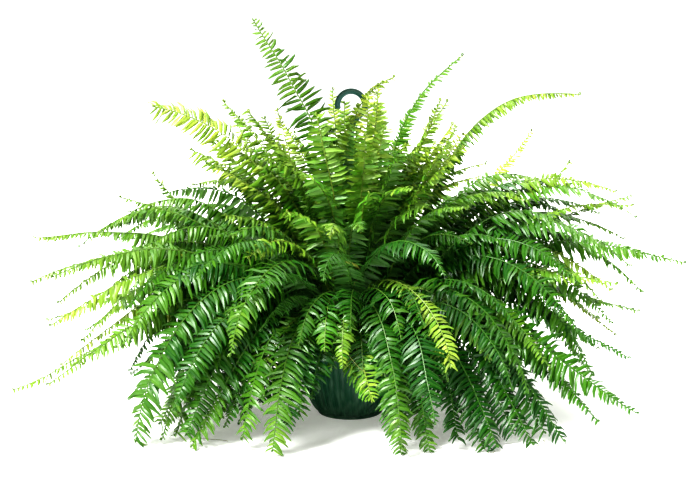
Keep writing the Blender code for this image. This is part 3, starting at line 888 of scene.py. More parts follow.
def rib_tube(line):
    """The rib's points, ring by ring, and the share of its length at each ring."""
    whole = line["run"][-1]
    run = np.concatenate([np.linspace(0.0, line["length"], RIB_POINTS),
                          np.linspace(line["length"], whole, CURL_POINTS + 1)[1:]])
    middle, side, up = at_run(line, run, "points", "side", "up")
    side, up = unit(side), unit(up)
    share = run / whole
    thick = RIB_THIN + (RIB_THICK - RIB_THIN) * (1.0 - share) ** 0.9
    thick = np.where(run > line["length"] + 1e-6, CURL_THICK, thick)
    turn = math.tau * np.arange(RIB_SIDES) / RIB_SIDES
    ring = (np.cos(turn)[None, :, None] * side[:, None, :]
            + np.sin(turn)[None, :, None] * up[:, None, :])
    points = middle[:, None, :] + ring * thick[:, None, None]
    points[..., 2] = np.maximum(points[..., 2], FLOOR_GAP)
    return points, share


def leaflet_mesh(made, form, first_cell, grid):
    """The mesh of one frond's leaflets, each with its own cell of the piece's map."""
    count, per = made["points"].shape[:2]
    cells = first_cell + np.arange(count)
    low = np.stack([cells % grid, cells // grid], -1) / grid
    first = per * np.arange(count)[:, None]
    # the leaflets on the left are mirrored, so their faces are read the other way round
    plain = np.arange(len(form["corners"]))
    order = np.where(made["sign"][:, None] > 0, form["flipped"], plain)
    spot = form["cell"][order] * (1 - 2 * CELL_MARGIN) + CELL_MARGIN
    spot = low[:, None, :] + spot / grid
    spot[..., 1] = RIB_STRIP + spot[..., 1] * (1 - RIB_STRIP)
    return {
        "points": made["points"].reshape(-1, 3),
        "corners": (first + form["corners"][order]).ravel(),
        "sizes": np.tile(form["sizes"], count),
        "skins": np.zeros(count * len(form["sizes"]), int),
        "OFBake": spot.reshape(-1, 2),
        "leaflet": form["across"][order].reshape(-1, 2),
        "under": form["under"][order].ravel(),
        **{key: np.repeat(made[key], per) for key in ("age", "tone", "dry")},
    }


def rib_mesh(tube, share, young, number, count):
    """The mesh of one rib with closed ends, on its own part of the strip at the map's foot."""
    rings, around = len(tube), np.arange(RIB_SIDES)
    k, j = np.meshgrid(np.arange(rings - 1), around, indexing="ij")
    after = (j + 1) % RIB_SIDES
    quads = np.stack([k * RIB_SIDES + j, k * RIB_SIDES + after,
                      (k + 1) * RIB_SIDES + after, (k + 1) * RIB_SIDES + j], -1).reshape(-1, 4)
    u = np.stack([share[k], share[k], share[k + 1], share[k + 1]], -1)
    v = np.stack([j, j + 0.9, j + 0.9, j], -1) / RIB_SIDES
    # small gaps keep its part of the strip clear of the next rib's and of the leaflets' cells
    wide = 1.0 / count
    sides = np.stack([(number + 0.02 + 0.96 * u) * wide, v * RIB_STRIP * 0.9 + 0.002], -1)
    turn = math.tau * around / RIB_SIDES
    ring = np.stack([np.cos(turn), np.sin(turn)], -1) * np.array([0.004 * wide, RIB_STRIP * 0.03])
    ends = [np.array([(number + end) * wide, RIB_STRIP * 0.95]) + ring for end in (0.006, 0.994)]
    return {
        "points": tube.reshape(-1, 3),
        "corners": np.concatenate([quads.ravel(), around[::-1], (rings - 1) * RIB_SIDES + around]),
        "sizes": np.array([4] * len(quads) + [RIB_SIDES] * 2),
        "skins": np.ones(len(quads) + 2, int),
        "OFBake": np.vstack([sides.reshape(-1, 2), *ends]),
        "leaflet": np.vstack([np.stack([u, v], -1).reshape(-1, 2),
                              np.full((2 * RIB_SIDES, 2), 0.5)]),
        "under": np.zeros(quads.size + 2 * RIB_SIDES),
        "age": np.full(rings * RIB_SIDES, float(young)),
        "tone": np.repeat(share, RIB_SIDES),
        "dry": np.zeros(rings * RIB_SIDES),
    }


def build_fronds(name, fronds, form, replaced=()):
    """One piece from these fronds: all their leaflets and ribs, with its maps and attributes."""
    counts = [len(frond["leaflets"]["sign"]) for frond in fronds]
    grid = math.ceil(math.sqrt(sum(counts)))
    parts, start = [], 0
    for number, frond in enumerate(fronds):
        parts.append(leaflet_mesh(frond["leaflets"], form, sum(counts[:number]), grid))
        parts.append(rib_mesh(*frond["rib"], frond["young"], number, len(fronds)))
    for part in parts:
        part["corners"] = part["corners"] + start
        start += len(part["points"])
    whole = {key: np.concatenate([part[key] for part in parts]) for key in parts[0]}

    mesh = bpy.data.meshes.new(name)
    mesh.vertices.add(len(whole["points"]))
    mesh.vertices.foreach_set("co", whole["points"].astype(np.float32).ravel())
    mesh.loops.add(len(whole["corners"]))
    mesh.loops.foreach_set("vertex_index", whole["corners"].astype(np.int32))
    mesh.polygons.add(len(whole["sizes"]))
    starts = np.concatenate([[0], np.cumsum(whole["sizes"])[:-1]])
    mesh.polygons.foreach_set("loop_start", starts.astype(np.int32))
    mesh.polygons.foreach_set("material_index", whole["skins"].astype(np.int32))
    mesh.update(calc_edges=True)
    for title in ("OFBake", "leaflet"):
        layer = mesh.uv_layers.new(name=title)
        layer.uv.foreach_set("vector", whole[title].astype(np.float32).ravel())
    for title in ("age", "tone", "dry", "under"):
        layer = mesh.attributes.new(title, "FLOAT", "CORNER" if title == "under" else "POINT")
        layer.data.foreach_set("value", whole[title].astype(np.float32))
    mesh.validate()
    piece = bpy.data.objects.new(name, mesh)
    bpy.context.scene.collection.objects.link(piece)
    finish_piece(piece, name, (leaf, rib_skin), replaced, smooth=32.0)


def grow_frond(row, form, seed):
    """One frond from its row: its rib, and the leaflets on it."""
    face, launch, x, y, z, pitch, roll, width, young, hang, tail = row
    draws = np.random.default_rng(seed)
    line = rib_line(face, launch, (x, y, z), pitch, roll, draws, tail)
    return {
        "leaflets": leaflets_on(line, width, young, hang, tail, draws, form),
        "rib": rib_tube(line), "young": young,
    }


# Fern leaf: thin, soft tissue with a satin skin over it, so light both glances off it and glows
# through it. Old leaflets are deep green, young ones lime, undersides paler and duller. Its tone
# holds painted shade, darkest deep inside the plant.
leaf, tree = blank_material("fern_leaf_tissue")
age = add_node(tree, "Attribute", attribute_name="age").outputs["Fac"]
age = add_node(tree, "Math", {0: age, 1: 1.8}, operation="POWER")
# the tone attribute darkens leaflets with painted shade as well as varying their own green
tone = add_node(tree, "Attribute", attribute_name="tone").outputs["Fac"]
dry = add_node(tree, "Attribute", attribute_name="dry").outputs["Fac"]
under = add_node(tree, "Attribute", attribute_name="under").outputs["Fac"]
spot = add_node(tree, "SeparateXYZ", {"Vector": add_node(tree, "UVMap", uv_map="leaflet")})
along, across = spot.outputs["X"], spot.outputs["Y"]
old_colour = add_node(tree, "Mix", {0: tone, 6: "145606", 7: "528e10"}, data_type="RGBA")
young_colour = add_node(tree, "Mix", {0: tone, 6: "58a01c", 7: "bac950"}, data_type="RGBA")
colour = add_node(tree, "Mix", {0: age, 6: old_colour, 7: young_colour}, data_type="RGBA")
paler = add_node(tree, "Mix", {0: 0.18, 6: colour, 7: "8fbf6c"}, data_type="RGBA")
colour = add_node(tree, "Mix", {0: under, 6: colour, 7: paler}, data_type="RGBA")
# the midrib is a fine pale line
from_rib = add_node(tree, "Math", {0: across}, operation="ABSOLUTE")
on_rib = add_node(
    tree, "MapRange", {"Value": from_rib, "From Max": 0.16, "To Min": 0.25, "To Max": 0.0})
colour = add_node(tree, "Mix", {0: on_rib, 6: colour, 7: "86b440"}, data_type="RGBA")
straw = add_node(tree, "Mix", {0: along, 6: "b8b03a", 7: "9a7a2c"}, data_type="RGBA")
colour = add_node(tree, "Mix", {0: dry, 6: colour, 7: straw}, data_type="RGBA")
old_glow = add_node(tree, "Mix", {0: tone, 6: "0e5a03", 7: "4c9a08"}, data_type="RGBA")
glow = add_node(tree, "Mix", {0: age, 6: old_glow, 7: "98b226"}, data_type="RGBA")
skin = add_node(tree, "BsdfPrincipled", {
    "Base Color": colour, "Roughness": 0.40, "IOR": 1.45, "Specular IOR Level": 0.8,
    "Sheen Weight": 0.11, "Sheen Roughness": 0.35, "Sheen Tint": "d2eab0"})
through = add_node(tree, "BsdfTranslucent", {"Color": glow})
tissue = add_node(tree, "MixShader", {0: 0.28, 1: skin, 2: through})
add_node(tree, "OutputMaterial", {"Surface": tissue})

# Frond rib: smooth and wiry, pale yellow green, and brown towards its foot, where old scales
# leave flecks about 2 mm long.
rib_skin, tree = blank_material("frond_rib")
share = add_node(tree, "Attribute", attribute_name="tone").outputs["Fac"]
age = add_node(tree, "Attribute", attribute_name="age").outputs["Fac"]
place = add_node(tree, "TexCoord").outputs["Object"]
flecks = add_node(tree, "TexNoise", {"Vector": place, "Scale": 500.0, "Detail": 3.0})
fresh = add_node(tree, "Mix", {0: age, 6: "3e6a20", 7: "84983a"}, data_type="RGBA")
near_foot = add_node(tree, "MapRange", {
    "Value": share, "From Min": 0.02, "From Max": 0.22, "To Min": 0.9, "To Max": 0.0})
brown = add_node(tree, "Mix", {0: flecks, 6: "3b2714", 7: "8f6d3a"}, data_type="RGBA")
colour = add_node(tree, "Mix", {0: near_foot, 6: fresh, 7: brown}, data_type="RGBA")
skin = add_node(tree, "BsdfPrincipled", {"Base Color": colour, "Roughness": 0.5})
add_node(tree, "OutputMaterial", {"Surface": skin})

full_leaflet = model_leaflet(FULL_LEAFLET)
plain_leaflet = model_leaflet(PLAIN_LEAFLET)

# One row for each frond that carries a CAD node, in the CAD's own order: the way it leans at its
# foot and how steeply it leaves the crown (degrees), where its tip is (metres), how steeply the
# tip points and how far the blade rolls about its rib (degrees), its full width (metres), its
# youth (under 0 darkens the whole frond, as painted shade), how much its leaflets hang, and the
# share of it that is a thin sparse tail (under 0 for a blunt end).
FRONDS = (
    (88, 88, -0.16, -0.005, 0.67, 58, 0, 0.092, 0.3, 0.9, 0.0),
    (195, 66, -0.32, -0.06, 0.53, 12, -50, 0.09, 0.68, 0.1, -0.1),
    (150, 78, -0.22, 0.09, 0.53, 45, -10, 0.066, 0.7, 0.05, 0.05),
    (118, 72, -0.13, 0.17, 0.51, 70, 0, 0.068, 0.7, 0.05, 0.05),
    (76, 80, -0.03, 0.13, 0.55, 85, 0, 0.062, 0.65, 0.05, 0.05),
    (285, 78, 0.07, -0.09, 0.58, 18, 0, 0.06, 0.6, 0.05, 0.25),
    (45, 84, 0.05, 0.06, 0.56, 82, 0, 0.066, 0.65, 0.05, 0.05),
    (2, 74, 0.19, 0.03, 0.61, 35, 20, 0.056, 0.1, 0.1, 0.15),
    (310, 79, 0.15, -0.04, 0.54, 68, 0, 0.07, 0.9, 0.05, 0.05),
    (25, 74, 0.17, 0.09, 0.53, 50, 0, 0.07, 0.85, 0.05, 0.05),
    (325, 76, 0.17, -0.09, 0.5, 60, 0, 0.07, 0.85, 0.1, 0.05),
    (6, 62, 0.385, 0.01, 0.545, -8, 0, 0.056, 0.45, 0.9, 0.1),
    (38, 52, 0.33, 0.18, 0.47, 48, 0, 0.06, 0.7, 0.1, 0.05),
    (20, 48, 0.39, 0.12, 0.42, 48, 0, 0.045, 0.4, 0.1, 0.05),
    (160, 52, -0.35, 0.12, 0.4, 50, 0, 0.05, 0.45, 0.1, 0.05),
    (187, 52, -0.38, -0.05, 0.38, 15, -20, 0.045, 0.35, 0.2, 0.1),
    (172, 62, -0.3, 0.08, 0.34, -20, 0, 0.08, 0.25, 0.5, 0.05),
    (178, 44, -0.54, 0.02, 0.3, -8, 0, 0.08, 0.25, 0.9, 0.3),
    (185, 40, -0.53, -0.06, 0.24, -22, -20, 0.085, 0.3, 0.6, 0.3),
    (196, 44, -0.47, -0.17, 0.27, -20, -30, 0.085, 0.25, 0.3, 0.1),
    (176, 34, -0.53, 0.05, 0.15, -20, 0, 0.08, 0.35, 0.5, 0.25),
    (192, 32, -0.57, -0.05, 0.05, -22, -20, 0.08, 0.35, 0.4, 0.35),
    (201, 38, -0.48, -0.19, 0.1, -30, -25, 0.085, 0.25, 0.3, 0.15),
    (216, 58, -0.34, -0.2, 0.01, -84, -20, 0.095, 0.1, 0.15, -0.15),
    (236, 72, -0.18, -0.28, 0.17, -80, -10, 0.09, 0.2, 0.15, 0.05),
    (243, 46, -0.12, -0.25, 0.01, -78, 0, 0.085, 0.15, 0.15, -0.12),
    (234, 42, -0.2, -0.19, 0.03, -60, 0, 0.08, 0.1, 0.2, 0.05),
    (250, 58, 0.035, -0.22, 0.08, -50, 0, 0.075, 0.85, 0.15, 0.0),
    (284, 60, 0.08, -0.27, 0.02, -80, 0, 0.07, 0.15, 0.15, -0.1),
    (278, 66, 0.07, -0.25, 0.11, -72, 0, 0.08, 0.15, 0.15, 0.05),
    (298, 62, 0.15, -0.24, 0.12, -75, 0, 0.075, 0.15, 0.15, 0.05),
    (306, 46, 0.23, -0.23, 0.01, -62, 0, 0.085, -0.3, 0.15, -0.12),
    (314, 56, 0.28, -0.2, 0.09, -75, 0, 0.08, 0.05, 0.15, 0.1),
    (320, 42, 0.34, -0.2, 0.01, -52, 0, 0.085, -0.3, 0.15, -0.1),
    (332, 52, 0.46, -0.18, 0.05, -24, 25, 0.1, -0.2, 0.1, 0.1),
    (343, 37, 0.46, -0.1, 0.12, -25, 20, 0.08, -0.1, 0.1, 0.15),
    (355, 42, 0.49, -0.02, 0.18, -15, 0, 0.085, 0.15, 0.15, 0.15),
    (338, 54, 0.43, -0.13, 0.25, -8, 20, 0.08, 0.45, 0.1, 0.1),
    (358, 46, 0.57, 0.0, 0.26, -15, 30, 0.09, 0.1, 0.1, 0.15),
    (10, 50, 0.48, 0.07, 0.29, -30, 0, 0.085, 0.2, 0.2, 0.15),
    (15, 38, 0.5, 0.12, 0.36, 12, 0, 0.055, 0.35, 0.15, 0.15),
    (318, 62, 0.185, -0.17, 0.38, 0, 0, 0.06, 0.3, 0.3, 0.05),
    (62, 60, 0.24, 0.43, 0.3, -20, 0, 0.085, 0.15, 0.4, 0.1),
    (88, 58, 0.02, 0.49, 0.27, -22, 0, 0.085, 0.2, 0.4, 0.1),
    (122, 60, -0.26, 0.42, 0.28, -20, 0, 0.085, 0.15, 0.4, 0.1),
    (144, 54, -0.42, 0.31, 0.25, -22, 0, 0.085, 0.2, 0.4, 0.15),
    (30, 36, 0.48, 0.28, 0.1, -35, 0, 0.085, 0.15, 0.3, 0.15),
    (52, 38, 0.31, 0.41, 0.06, -50, 0, 0.085, 0.1, 0.25, 0.1),
    (75, 36, 0.12, 0.49, 0.06, -45, 0, 0.085, 0.1, 0.25, 0.1),
    (102, 38, -0.1, 0.47, 0.05, -48, 0, 0.085, 0.1, 0.25, 0.1),
    (130, 36, -0.33, 0.39, 0.07, -42, 0, 0.085, 0.1, 0.25, 0.1),
    (155, 34, -0.5, 0.23, 0.09, -32, 0, 0.085, 0.15, 0.25, 0.15),
)

for number, row in enumerate(FRONDS, 1):
    frond = grow_frond(row, full_leaflet, 100 + number)
    build_fronds(f"fern_frond_{number:02d}", [frond], full_leaflet, [f"frond_{number:02d}"])


# The skirt: the fronds that hang down round the front of the pot and lie on the ground about it,
# in two layers, with the ones in front of the pot the shortest.

PER_PIECE = 16


def grow_group(name, rows, form, seed):
    """The fronds of these rows, in pieces of a few fronds each."""
    for first in range(0, len(rows), PER_PIECE):
        grown = []
        for n, row in enumerate(rows[first:first + PER_PIECE], first):
            draws = np.random.default_rng(seed + n)
            face, launch, x, y, z, pitch, roll, width = row[:8]
            row = (face + draws.normal(0.0, 9.0), launch, x, y, z, pitch,
                   roll + draws.normal(0.0, 12.0), width * draws.uniform(0.85, 1.1), *row[8:])
            grown.append(grow_frond(row, form, seed + n))
        build_fronds(f"{name}_{first // PER_PIECE + 1}", grown, form)


SKIRT = (
    (208, 44, -0.31, -0.14, 0.02, -58, -20, 0.085, 0.1, 0.3, -0.1),
    (216, 40, -0.26, -0.2, 0.02, -62, -15, 0.085, -0.12, 0.3, -0.12),
    (225, 50, -0.21, -0.15, 0.03, -70, -10, 0.08, 0.25, 0.2, 0.05),
    (214, 52, -0.27, -0.1, 0.05, -60, -15, 0.08, -0.12, 0.3, 0.05),
    (203, 46, -0.35, -0.12, 0.07, -48, -20, 0.085, 0.15, 0.3, 0.1),
    (196, 40, -0.36, -0.06, 0.05, -45, -15, 0.085, -0.12, 0.3, 0.1),
    (205, 56, -0.28, -0.05, 0.1, -60, -10, 0.08, -0.12, 0.3, 0.05),
    (230, 40, -0.17, -0.22, 0.02, -70, 0, 0.075, 0.1, 0.2, -0.12),
    (238, 56, -0.15, -0.18, 0.08, -78, 0, 0.08, 0.45, 0.2, 0.05),
    (247, 50, -0.08, -0.22, 0.06, -78, 0, 0.065, 0.2, 0.2, -0.1),
    (228, 62, -0.24, -0.19, 0.14, -62, -15, 0.085, 0.15, 0.2, 0.05),
    (220, 58, -0.32, -0.17, 0.13, -55, -20, 0.085, 0.2, 0.3, 0.1),
    (190, 48, -0.4, -0.03, 0.12, -40, -10, 0.085, 0.1, 0.4, 0.1),
    (183, 40, -0.38, 0.02, 0.06, -42, 0, 0.085, -0.12, 0.3, 0.1),
    (250, 56, -0.1, -0.24, 0.05, -72, -5, 0.07, -0.12, 0.1, -0.1),
    (256, 50, -0.06, -0.2, 0.08, -74, 0, 0.08, -0.12, 0.1, 0.05),
    (304, 70, 0.155, -0.235, 0.14, -85, 0, 0.048, 0.62, 0.2, -0.2),
    (262, 62, -0.03, -0.18, 0.12, -75, 0, 0.08, 0.1, 0.2, 0.05),
    (275, 58, 0.02, -0.19, 0.11, -76, 0, 0.075, 0.2, 0.2, 0.05),
    (268, 70, 0.0, -0.2, 0.19, -70, 0, 0.08, 0.1, 0.3, 0.05),
    (256, 68, -0.08, -0.21, 0.17, -70, 0, 0.08, 0.15, 0.3, 0.05),
    (281, 68, 0.08, -0.21, 0.18, -72, 0, 0.08, 0.2, 0.3, 0.05),
    (290, 54, 0.09, -0.19, 0.04, -80, 0, 0.08, 0.15, 0.2, 0.05),
    (332, 44, 0.31, -0.19, 0.02, -58, 20, 0.085, -0.3, 0.3, -0.1),
    (324, 40, 0.26, -0.19, 0.02, -62, 15, 0.085, -0.3, 0.3, -0.12),
    (315, 50, 0.2, -0.16, 0.03, -70, 10, 0.08, 0.15, 0.2, 0.05),
    (326, 52, 0.27, -0.1, 0.05, -60, 15, 0.08, -0.3, 0.3, 0.05),
    (337, 46, 0.35, -0.12, 0.07, -48, 20, 0.085, -0.3, 0.3, 0.1),
    (344, 40, 0.38, -0.08, 0.05, -45, 15, 0.085, -0.3, 0.3, 0.1),
    (335, 56, 0.28, -0.05, 0.1, -60, 10, 0.08, -0.3, 0.3, 0.05),
    (310, 40, 0.17, -0.22, 0.02, -70, 0, 0.07, -0.12, 0.2, -0.12),
    (302, 56, 0.15, -0.18, 0.08, -78, 0, 0.08, 0.1, 0.2, 0.05),
    (296, 48, 0.12, -0.22, 0.03, -78, 0, 0.065, 0.1, 0.2, -0.05),
    (312, 62, 0.22, -0.2, 0.14, -62, 15, 0.085, 0.25, 0.2, 0.05),
    (322, 58, 0.32, -0.17, 0.12, -55, 20, 0.085, 0.15, 0.3, 0.1),
    (350, 48, 0.42, -0.04, 0.12, -40, 10, 0.085, 0.1, 0.4, 0.1),
    (357, 40, 0.4, 0.02, 0.06, -42, 0, 0.085, -0.12, 0.3, 0.1),
    (329, 36, 0.4, -0.16, 0.03, -45, 20, 0.085, -0.3, 0.3, 0.1),
    (216, 50, -0.3, -0.19, 0.01, -75, -15, 0.09, 0.15, 0.2, 0.05),
    (283, 62, 0.08, -0.245, 0.004, -60, 0, 0.062, 0.15, 0.2, -0.08),
    (292, 58, 0.125, -0.235, 0.004, -60, 0, 0.065, 0.1, 0.2, -0.05),
    (210, 55, 0.035, -0.215, 0.082, -5, 0, 0.045, 0.8, 0.2, -0.1),
    (222, 52, -0.25, -0.215, 0.006, -50, -10, 0.075, 0.15, 0.15, -0.12),
    (318, 48, 0.21, -0.225, 0.006, -60, 10, 0.075, -0.3, 0.15, -0.12),
    (215, 46, -0.22, -0.08, 0.06, -65, -10, 0.085, -0.1, 0.3, 0.0),
    (228, 44, -0.15, -0.08, 0.04, -72, 0, 0.085, -0.1, 0.3, 0.0),
    (236, 48, -0.12, -0.13, 0.06, -72, 0, 0.085, 0.0, 0.3, 0.0),
    (204, 42, -0.27, -0.05, 0.04, -60, -10, 0.085, -0.1, 0.3, 0.0),
    (305, 46, 0.11, -0.1, 0.05, -72, 0, 0.085, -0.1, 0.3, 0.0),
    (318, 46, 0.17, -0.08, 0.04, -70, 0, 0.085, -0.1, 0.3, 0.0),
    (217, 44, -0.28, -0.17, 0.01, -70, -10, 0.09, 0.1, 0.2, -0.1),
    (262, 66, -0.012, -0.215, 0.135, -75, 0, 0.06, 0.4, 0.2, 0.0),
    (255, 64, -0.04, -0.21, 0.16, -75, 0, 0.07, 0.35, 0.2, 0.0),
    (212, 48, -0.22, -0.12, 0.03, -70, -10, 0.08, -0.12, 0.3, 0.0),
    (222, 44, -0.18, -0.14, 0.02, -75, -5, 0.08, -0.12, 0.3, 0.0),
    (322, 44, 0.22, -0.12, 0.03, -70, 10, 0.08, -0.3, 0.3, 0.0),
    (334, 50, 0.3, -0.08, 0.06, -60, 10, 0.08, -0.3, 0.3, 0.0),
    (326, 46, 0.29, -0.205, 0.006, -55, 10, 0.075, -0.3, 0.15, -0.12),
)
grow_group("skirt_fronds", SKIRT, full_leaflet, 300)


# The spread: the fronds that reach out to both sides above the skirt, with their leaflets hanging
# from the rib like the teeth of a comb.

SPREAD = (
    (180, 52, -0.42, 0.06, 0.24, -41, 0, 0.08, 0.25, 0.7, 0.1),
    (170, 48, -0.42, 0.12, 0.28, -36, 0, 0.08, 0.15, 0.7, 0.1),
    (188, 52, -0.44, -0.01, 0.19, -44, -10, 0.08, 0.3, 0.6, 0.15),
    (195, 50, -0.44, -0.1, 0.15, -48, -20, 0.085, 0.3, 0.5, 0.15),
    (174, 52, -0.38, 0.05, 0.34, -28, 0, 0.08, 0.2, 0.8, 0.1),
    (165, 54, -0.38, 0.14, 0.24, -44, 0, 0.085, -0.12, 0.6, 0.1),
    (182, 44, -0.49, -0.03, 0.09, -38, -5, 0.08, 0.6, 0.5, 0.3),
    (184, 44, -0.48, 0.0, 0.245, -24, -10, 0.08, 0.6, 0.8, 0.2),
    (160, 48, -0.42, 0.18, 0.16, -48, 0, 0.085, -0.12, 0.5, 0.1),
    (192, 58, -0.36, -0.07, 0.28, -41, -20, 0.08, 0.15, 0.6, 0.1),
    (200, 60, -0.36, -0.13, 0.21, -51, -25, 0.085, -0.12, 0.3, 0.1),
    (208, 56, -0.36, -0.18, 0.16, -58, -25, 0.085, 0.1, 0.2, 0.1),
    (0, 52, 0.43, 0.05, 0.26, -36, 15, 0.08, 0.15, 0.1, 0.1),
    (8, 42, 0.44, 0.1, 0.33, -28, 15, 0.08, 0.1, 0.1, 0.1),
    (352, 54, 0.44, -0.03, 0.22, -41, 20, 0.08, 0.55, 0.15, 0.1),
    (345, 52, 0.43, -0.1, 0.18, -46, 25, 0.085, 0.1, 0.15, 0.1),
    (4, 52, 0.38, 0.06, 0.38, -21, 15, 0.08, -0.12, 0.1, 0.1),
    (14, 48, 0.41, 0.14, 0.31, -34, 0, 0.085, -0.12, 0.2, 0.1),
    (2, 46, 0.46, 0.02, 0.13, -41, 10, 0.08, 0.5, 0.2, 0.2),
    (20, 50, 0.42, 0.18, 0.19, -44, 0, 0.085, -0.12, 0.2, 0.1),
    (350, 52, 0.38, -0.05, 0.32, -34, 20, 0.08, 0.1, 0.1, 0.1),
    (341, 56, 0.37, -0.12, 0.25, -44, 25, 0.085, -0.12, 0.1, 0.1),
    (334, 58, 0.37, -0.17, 0.17, -56, 25, 0.085, -0.12, 0.1, 0.1),
    (10, 56, 0.34, 0.1, 0.385, -24, 10, 0.07, 0.15, 0.2, 0.1),
    (6, 36, 0.49, 0.06, 0.35, -8, 20, 0.055, 0.75, 0.1, 0.25),
    (5, 52, 0.49, 0.03, 0.335, -34, 25, 0.09, 0.15, 0.1, 0.1),
    (3, 56, 0.46, 0.06, 0.375, -21, 20, 0.075, 0.5, 0.1, 0.1),
    (357, 58, 0.5, 0.0, 0.21, -46, 25, 0.09, 0.1, 0.1, 0.1),
    (352, 54, 0.46, -0.08, 0.27, -41, 25, 0.09, 0.15, 0.1, 0.1),
    (342, 58, 0.4, -0.1, 0.09, -66, 15, 0.09, -0.05, 0.2, 0.05),
    (350, 58, 0.42, -0.05, 0.205, -51, 15, 0.085, 0.3, 0.2, 0.05),
    (178, 50, -0.43, 0.02, 0.31, -36, 0, 0.085, 0.25, 0.8, 0.05),
    (186, 54, -0.49, -0.04, 0.2, -41, -10, 0.09, 0.35, 0.5, 0.12),
    (184, 52, -0.5, -0.06, 0.165, -34, -15, 0.09, 0.4, 0.4, 0.02),
    (176, 50, -0.47, 0.05, 0.28, -41, 0, 0.09, 0.15, 0.8, 0.1),
)
grow_group("spread_fronds", SPREAD, full_leaflet, 400)


# The heart: the young fronds that stand up round the hanger and lean over the older ones. They
# are the brightest part of the plant.

HEART = (
    (210, 74, -0.22, -0.03, 0.47, 22, -20, 0.082, 0.75, 0.2, -0.08),
    (188, 70, -0.27, 0.03, 0.45, 20, -10, 0.082, 0.6, 0.3, -0.08),
    (165, 72, -0.24, 0.08, 0.46, 35, 0, 0.072, 0.35, 0.2, -0.08),
    (140, 80, -0.15, 0.1, 0.5, 60, 0, 0.067, 0.35, 0.1, -0.08),
    (235, 78, -0.12, -0.06, 0.47, 50, -10, 0.072, 0.9, 0.1, -0.08),
    (262, 84, -0.04, -0.07, 0.5, 70, 0, 0.067, 0.2, 0.1, -0.08),
    (100, 86, -0.01, 0.06, 0.53, 80, 0, 0.062, 0.4, 0.1, -0.08),
    (275, 85, 0.01, -0.05, 0.5, 80, 0, 0.062, 0.15, 0.1, -0.08),
    (300, 80, 0.09, -0.09, 0.47, 50, 10, 0.067, 0.8, 0.2, -0.08),
    (330, 74, 0.14, -0.05, 0.47, 45, 10, 0.072, 0.9, 0.2, -0.08),
    (345, 70, 0.19, -0.02, 0.46, 35, 15, 0.072, 1.0, 0.2, -0.08),
    (20, 76, 0.14, 0.08, 0.5, 60, 0, 0.067, 0.85, 0.1, -0.08),
    (50, 78, 0.1, 0.1, 0.5, 65, 0, 0.067, 0.85, 0.1, -0.08),
    (250, 70, -0.1, -0.15, 0.37, 10, 0, 0.072, 1.0, 0.3, -0.08),
    (285, 70, 0.03, -0.15, 0.4, 20, 0, 0.067, 0.95, 0.3, -0.08),
    (310, 66, 0.12, -0.15, 0.38, 10, 5, 0.072, 0.3, 0.3, -0.08),
    (222, 66, -0.2, -0.12, 0.36, 5, -10, 0.072, 0.35, 0.3, -0.08),
    (258, 82, -0.055, -0.08, 0.52, 72, 0, 0.072, 0.95, 0.2, -0.08),
    (296, 80, 0.055, -0.1, 0.5, 70, 0, 0.072, 0.9, 0.2, -0.1),
    (305, 78, 0.075, -0.12, 0.46, 60, 0, 0.077, 0.1, 0.5, -0.08),
    (238, 62, -0.16, -0.17, 0.3, -35, -10, 0.072, 1.0, 0.2, -0.08),
    (318, 72, 0.16, -0.08, 0.44, 40, 10, 0.07, 0.95, 0.2, -0.08),
    (335, 76, 0.17, -0.03, 0.5, 55, 0, 0.065, 0.95, 0.2, -0.08),
    (200, 78, -0.17, -0.02, 0.52, 50, -10, 0.07, 0.85, 0.2, -0.08),
    (215, 72, -0.22, -0.06, 0.43, 25, -15, 0.075, 0.7, 0.2, -0.08),
    (280, 85, 0.03, -0.1, 0.55, 80, 0, 0.065, 0.8, 0.2, -0.08),
    (285, 84, 0.045, -0.1, 0.54, 78, 0, 0.062, 0.95, 0.2, -0.08),
    (275, 84, 0.025, -0.1, 0.49, 78, 0, 0.07, 0.85, 0.2, -0.08),
    (40, 70, 0.2, 0.12, 0.47, 50, 0, 0.07, 0.8, 0.2, -0.08),
    (155, 74, -0.2, 0.12, 0.49, 50, 0, 0.07, 0.6, 0.2, -0.08),
)
grow_group("heart_fronds", HEART, full_leaflet, 450)


# The back: the fronds that hang down behind the pot and over its far side.

BACK = (
    (70, 50, 0.12, 0.3, 0.06, -65, 0, 0.08, 0.1, 0.3, 0.0),
    (100, 50, -0.08, 0.31, 0.06, -65, 0, 0.08, 0.05, 0.3, 0.0),
    (130, 48, -0.22, 0.26, 0.05, -60, 0, 0.08, 0.1, 0.3, 0.0),
    (50, 48, 0.24, 0.25, 0.05, -60, 0, 0.08, 0.05, 0.3, 0.0),
    (85, 62, 0.03, 0.36, 0.2, -40, 0, 0.08, 0.15, 0.4, 0.05),
    (110, 58, -0.16, 0.36, 0.18, -40, 0, 0.08, 0.1, 0.4, 0.05),
    (60, 58, 0.2, 0.34, 0.2, -40, 0, 0.08, 0.15, 0.4, 0.05),
    (142, 52, -0.33, 0.27, 0.12, -42, 0, 0.08, 0.1, 0.4, 0.05),
    (38, 52, 0.35, 0.25, 0.13, -42, 0, 0.08, 0.1, 0.4, 0.05),
    (157, 46, -0.36, 0.18, 0.05, -45, 0, 0.08, 0.05, 0.3, 0.0),
    (24, 46, 0.36, 0.17, 0.05, -45, 0, 0.08, 0.05, 0.3, 0.0),
    (92, 44, 0.01, 0.26, 0.03, -70, 0, 0.08, 0.05, 0.3, 0.0),
    (76, 44, 0.09, 0.24, 0.03, -70, 0, 0.08, 0.05, 0.3, 0.0),
    (112, 44, -0.12, 0.24, 0.03, -70, 0, 0.08, 0.1, 0.3, 0.0),
    (146, 40, -0.28, 0.2, 0.03, -55, 0, 0.08, 0.1, 0.3, 0.0),
    (36, 40, 0.28, 0.2, 0.03, -55, 0, 0.08, 0.1, 0.3, 0.0),
    (84, 70, 0.02, 0.26, 0.26, -45, 0, 0.08, 0.2, 0.4, 0.0),
)
grow_group("back_fronds", BACK, plain_leaflet, 480)
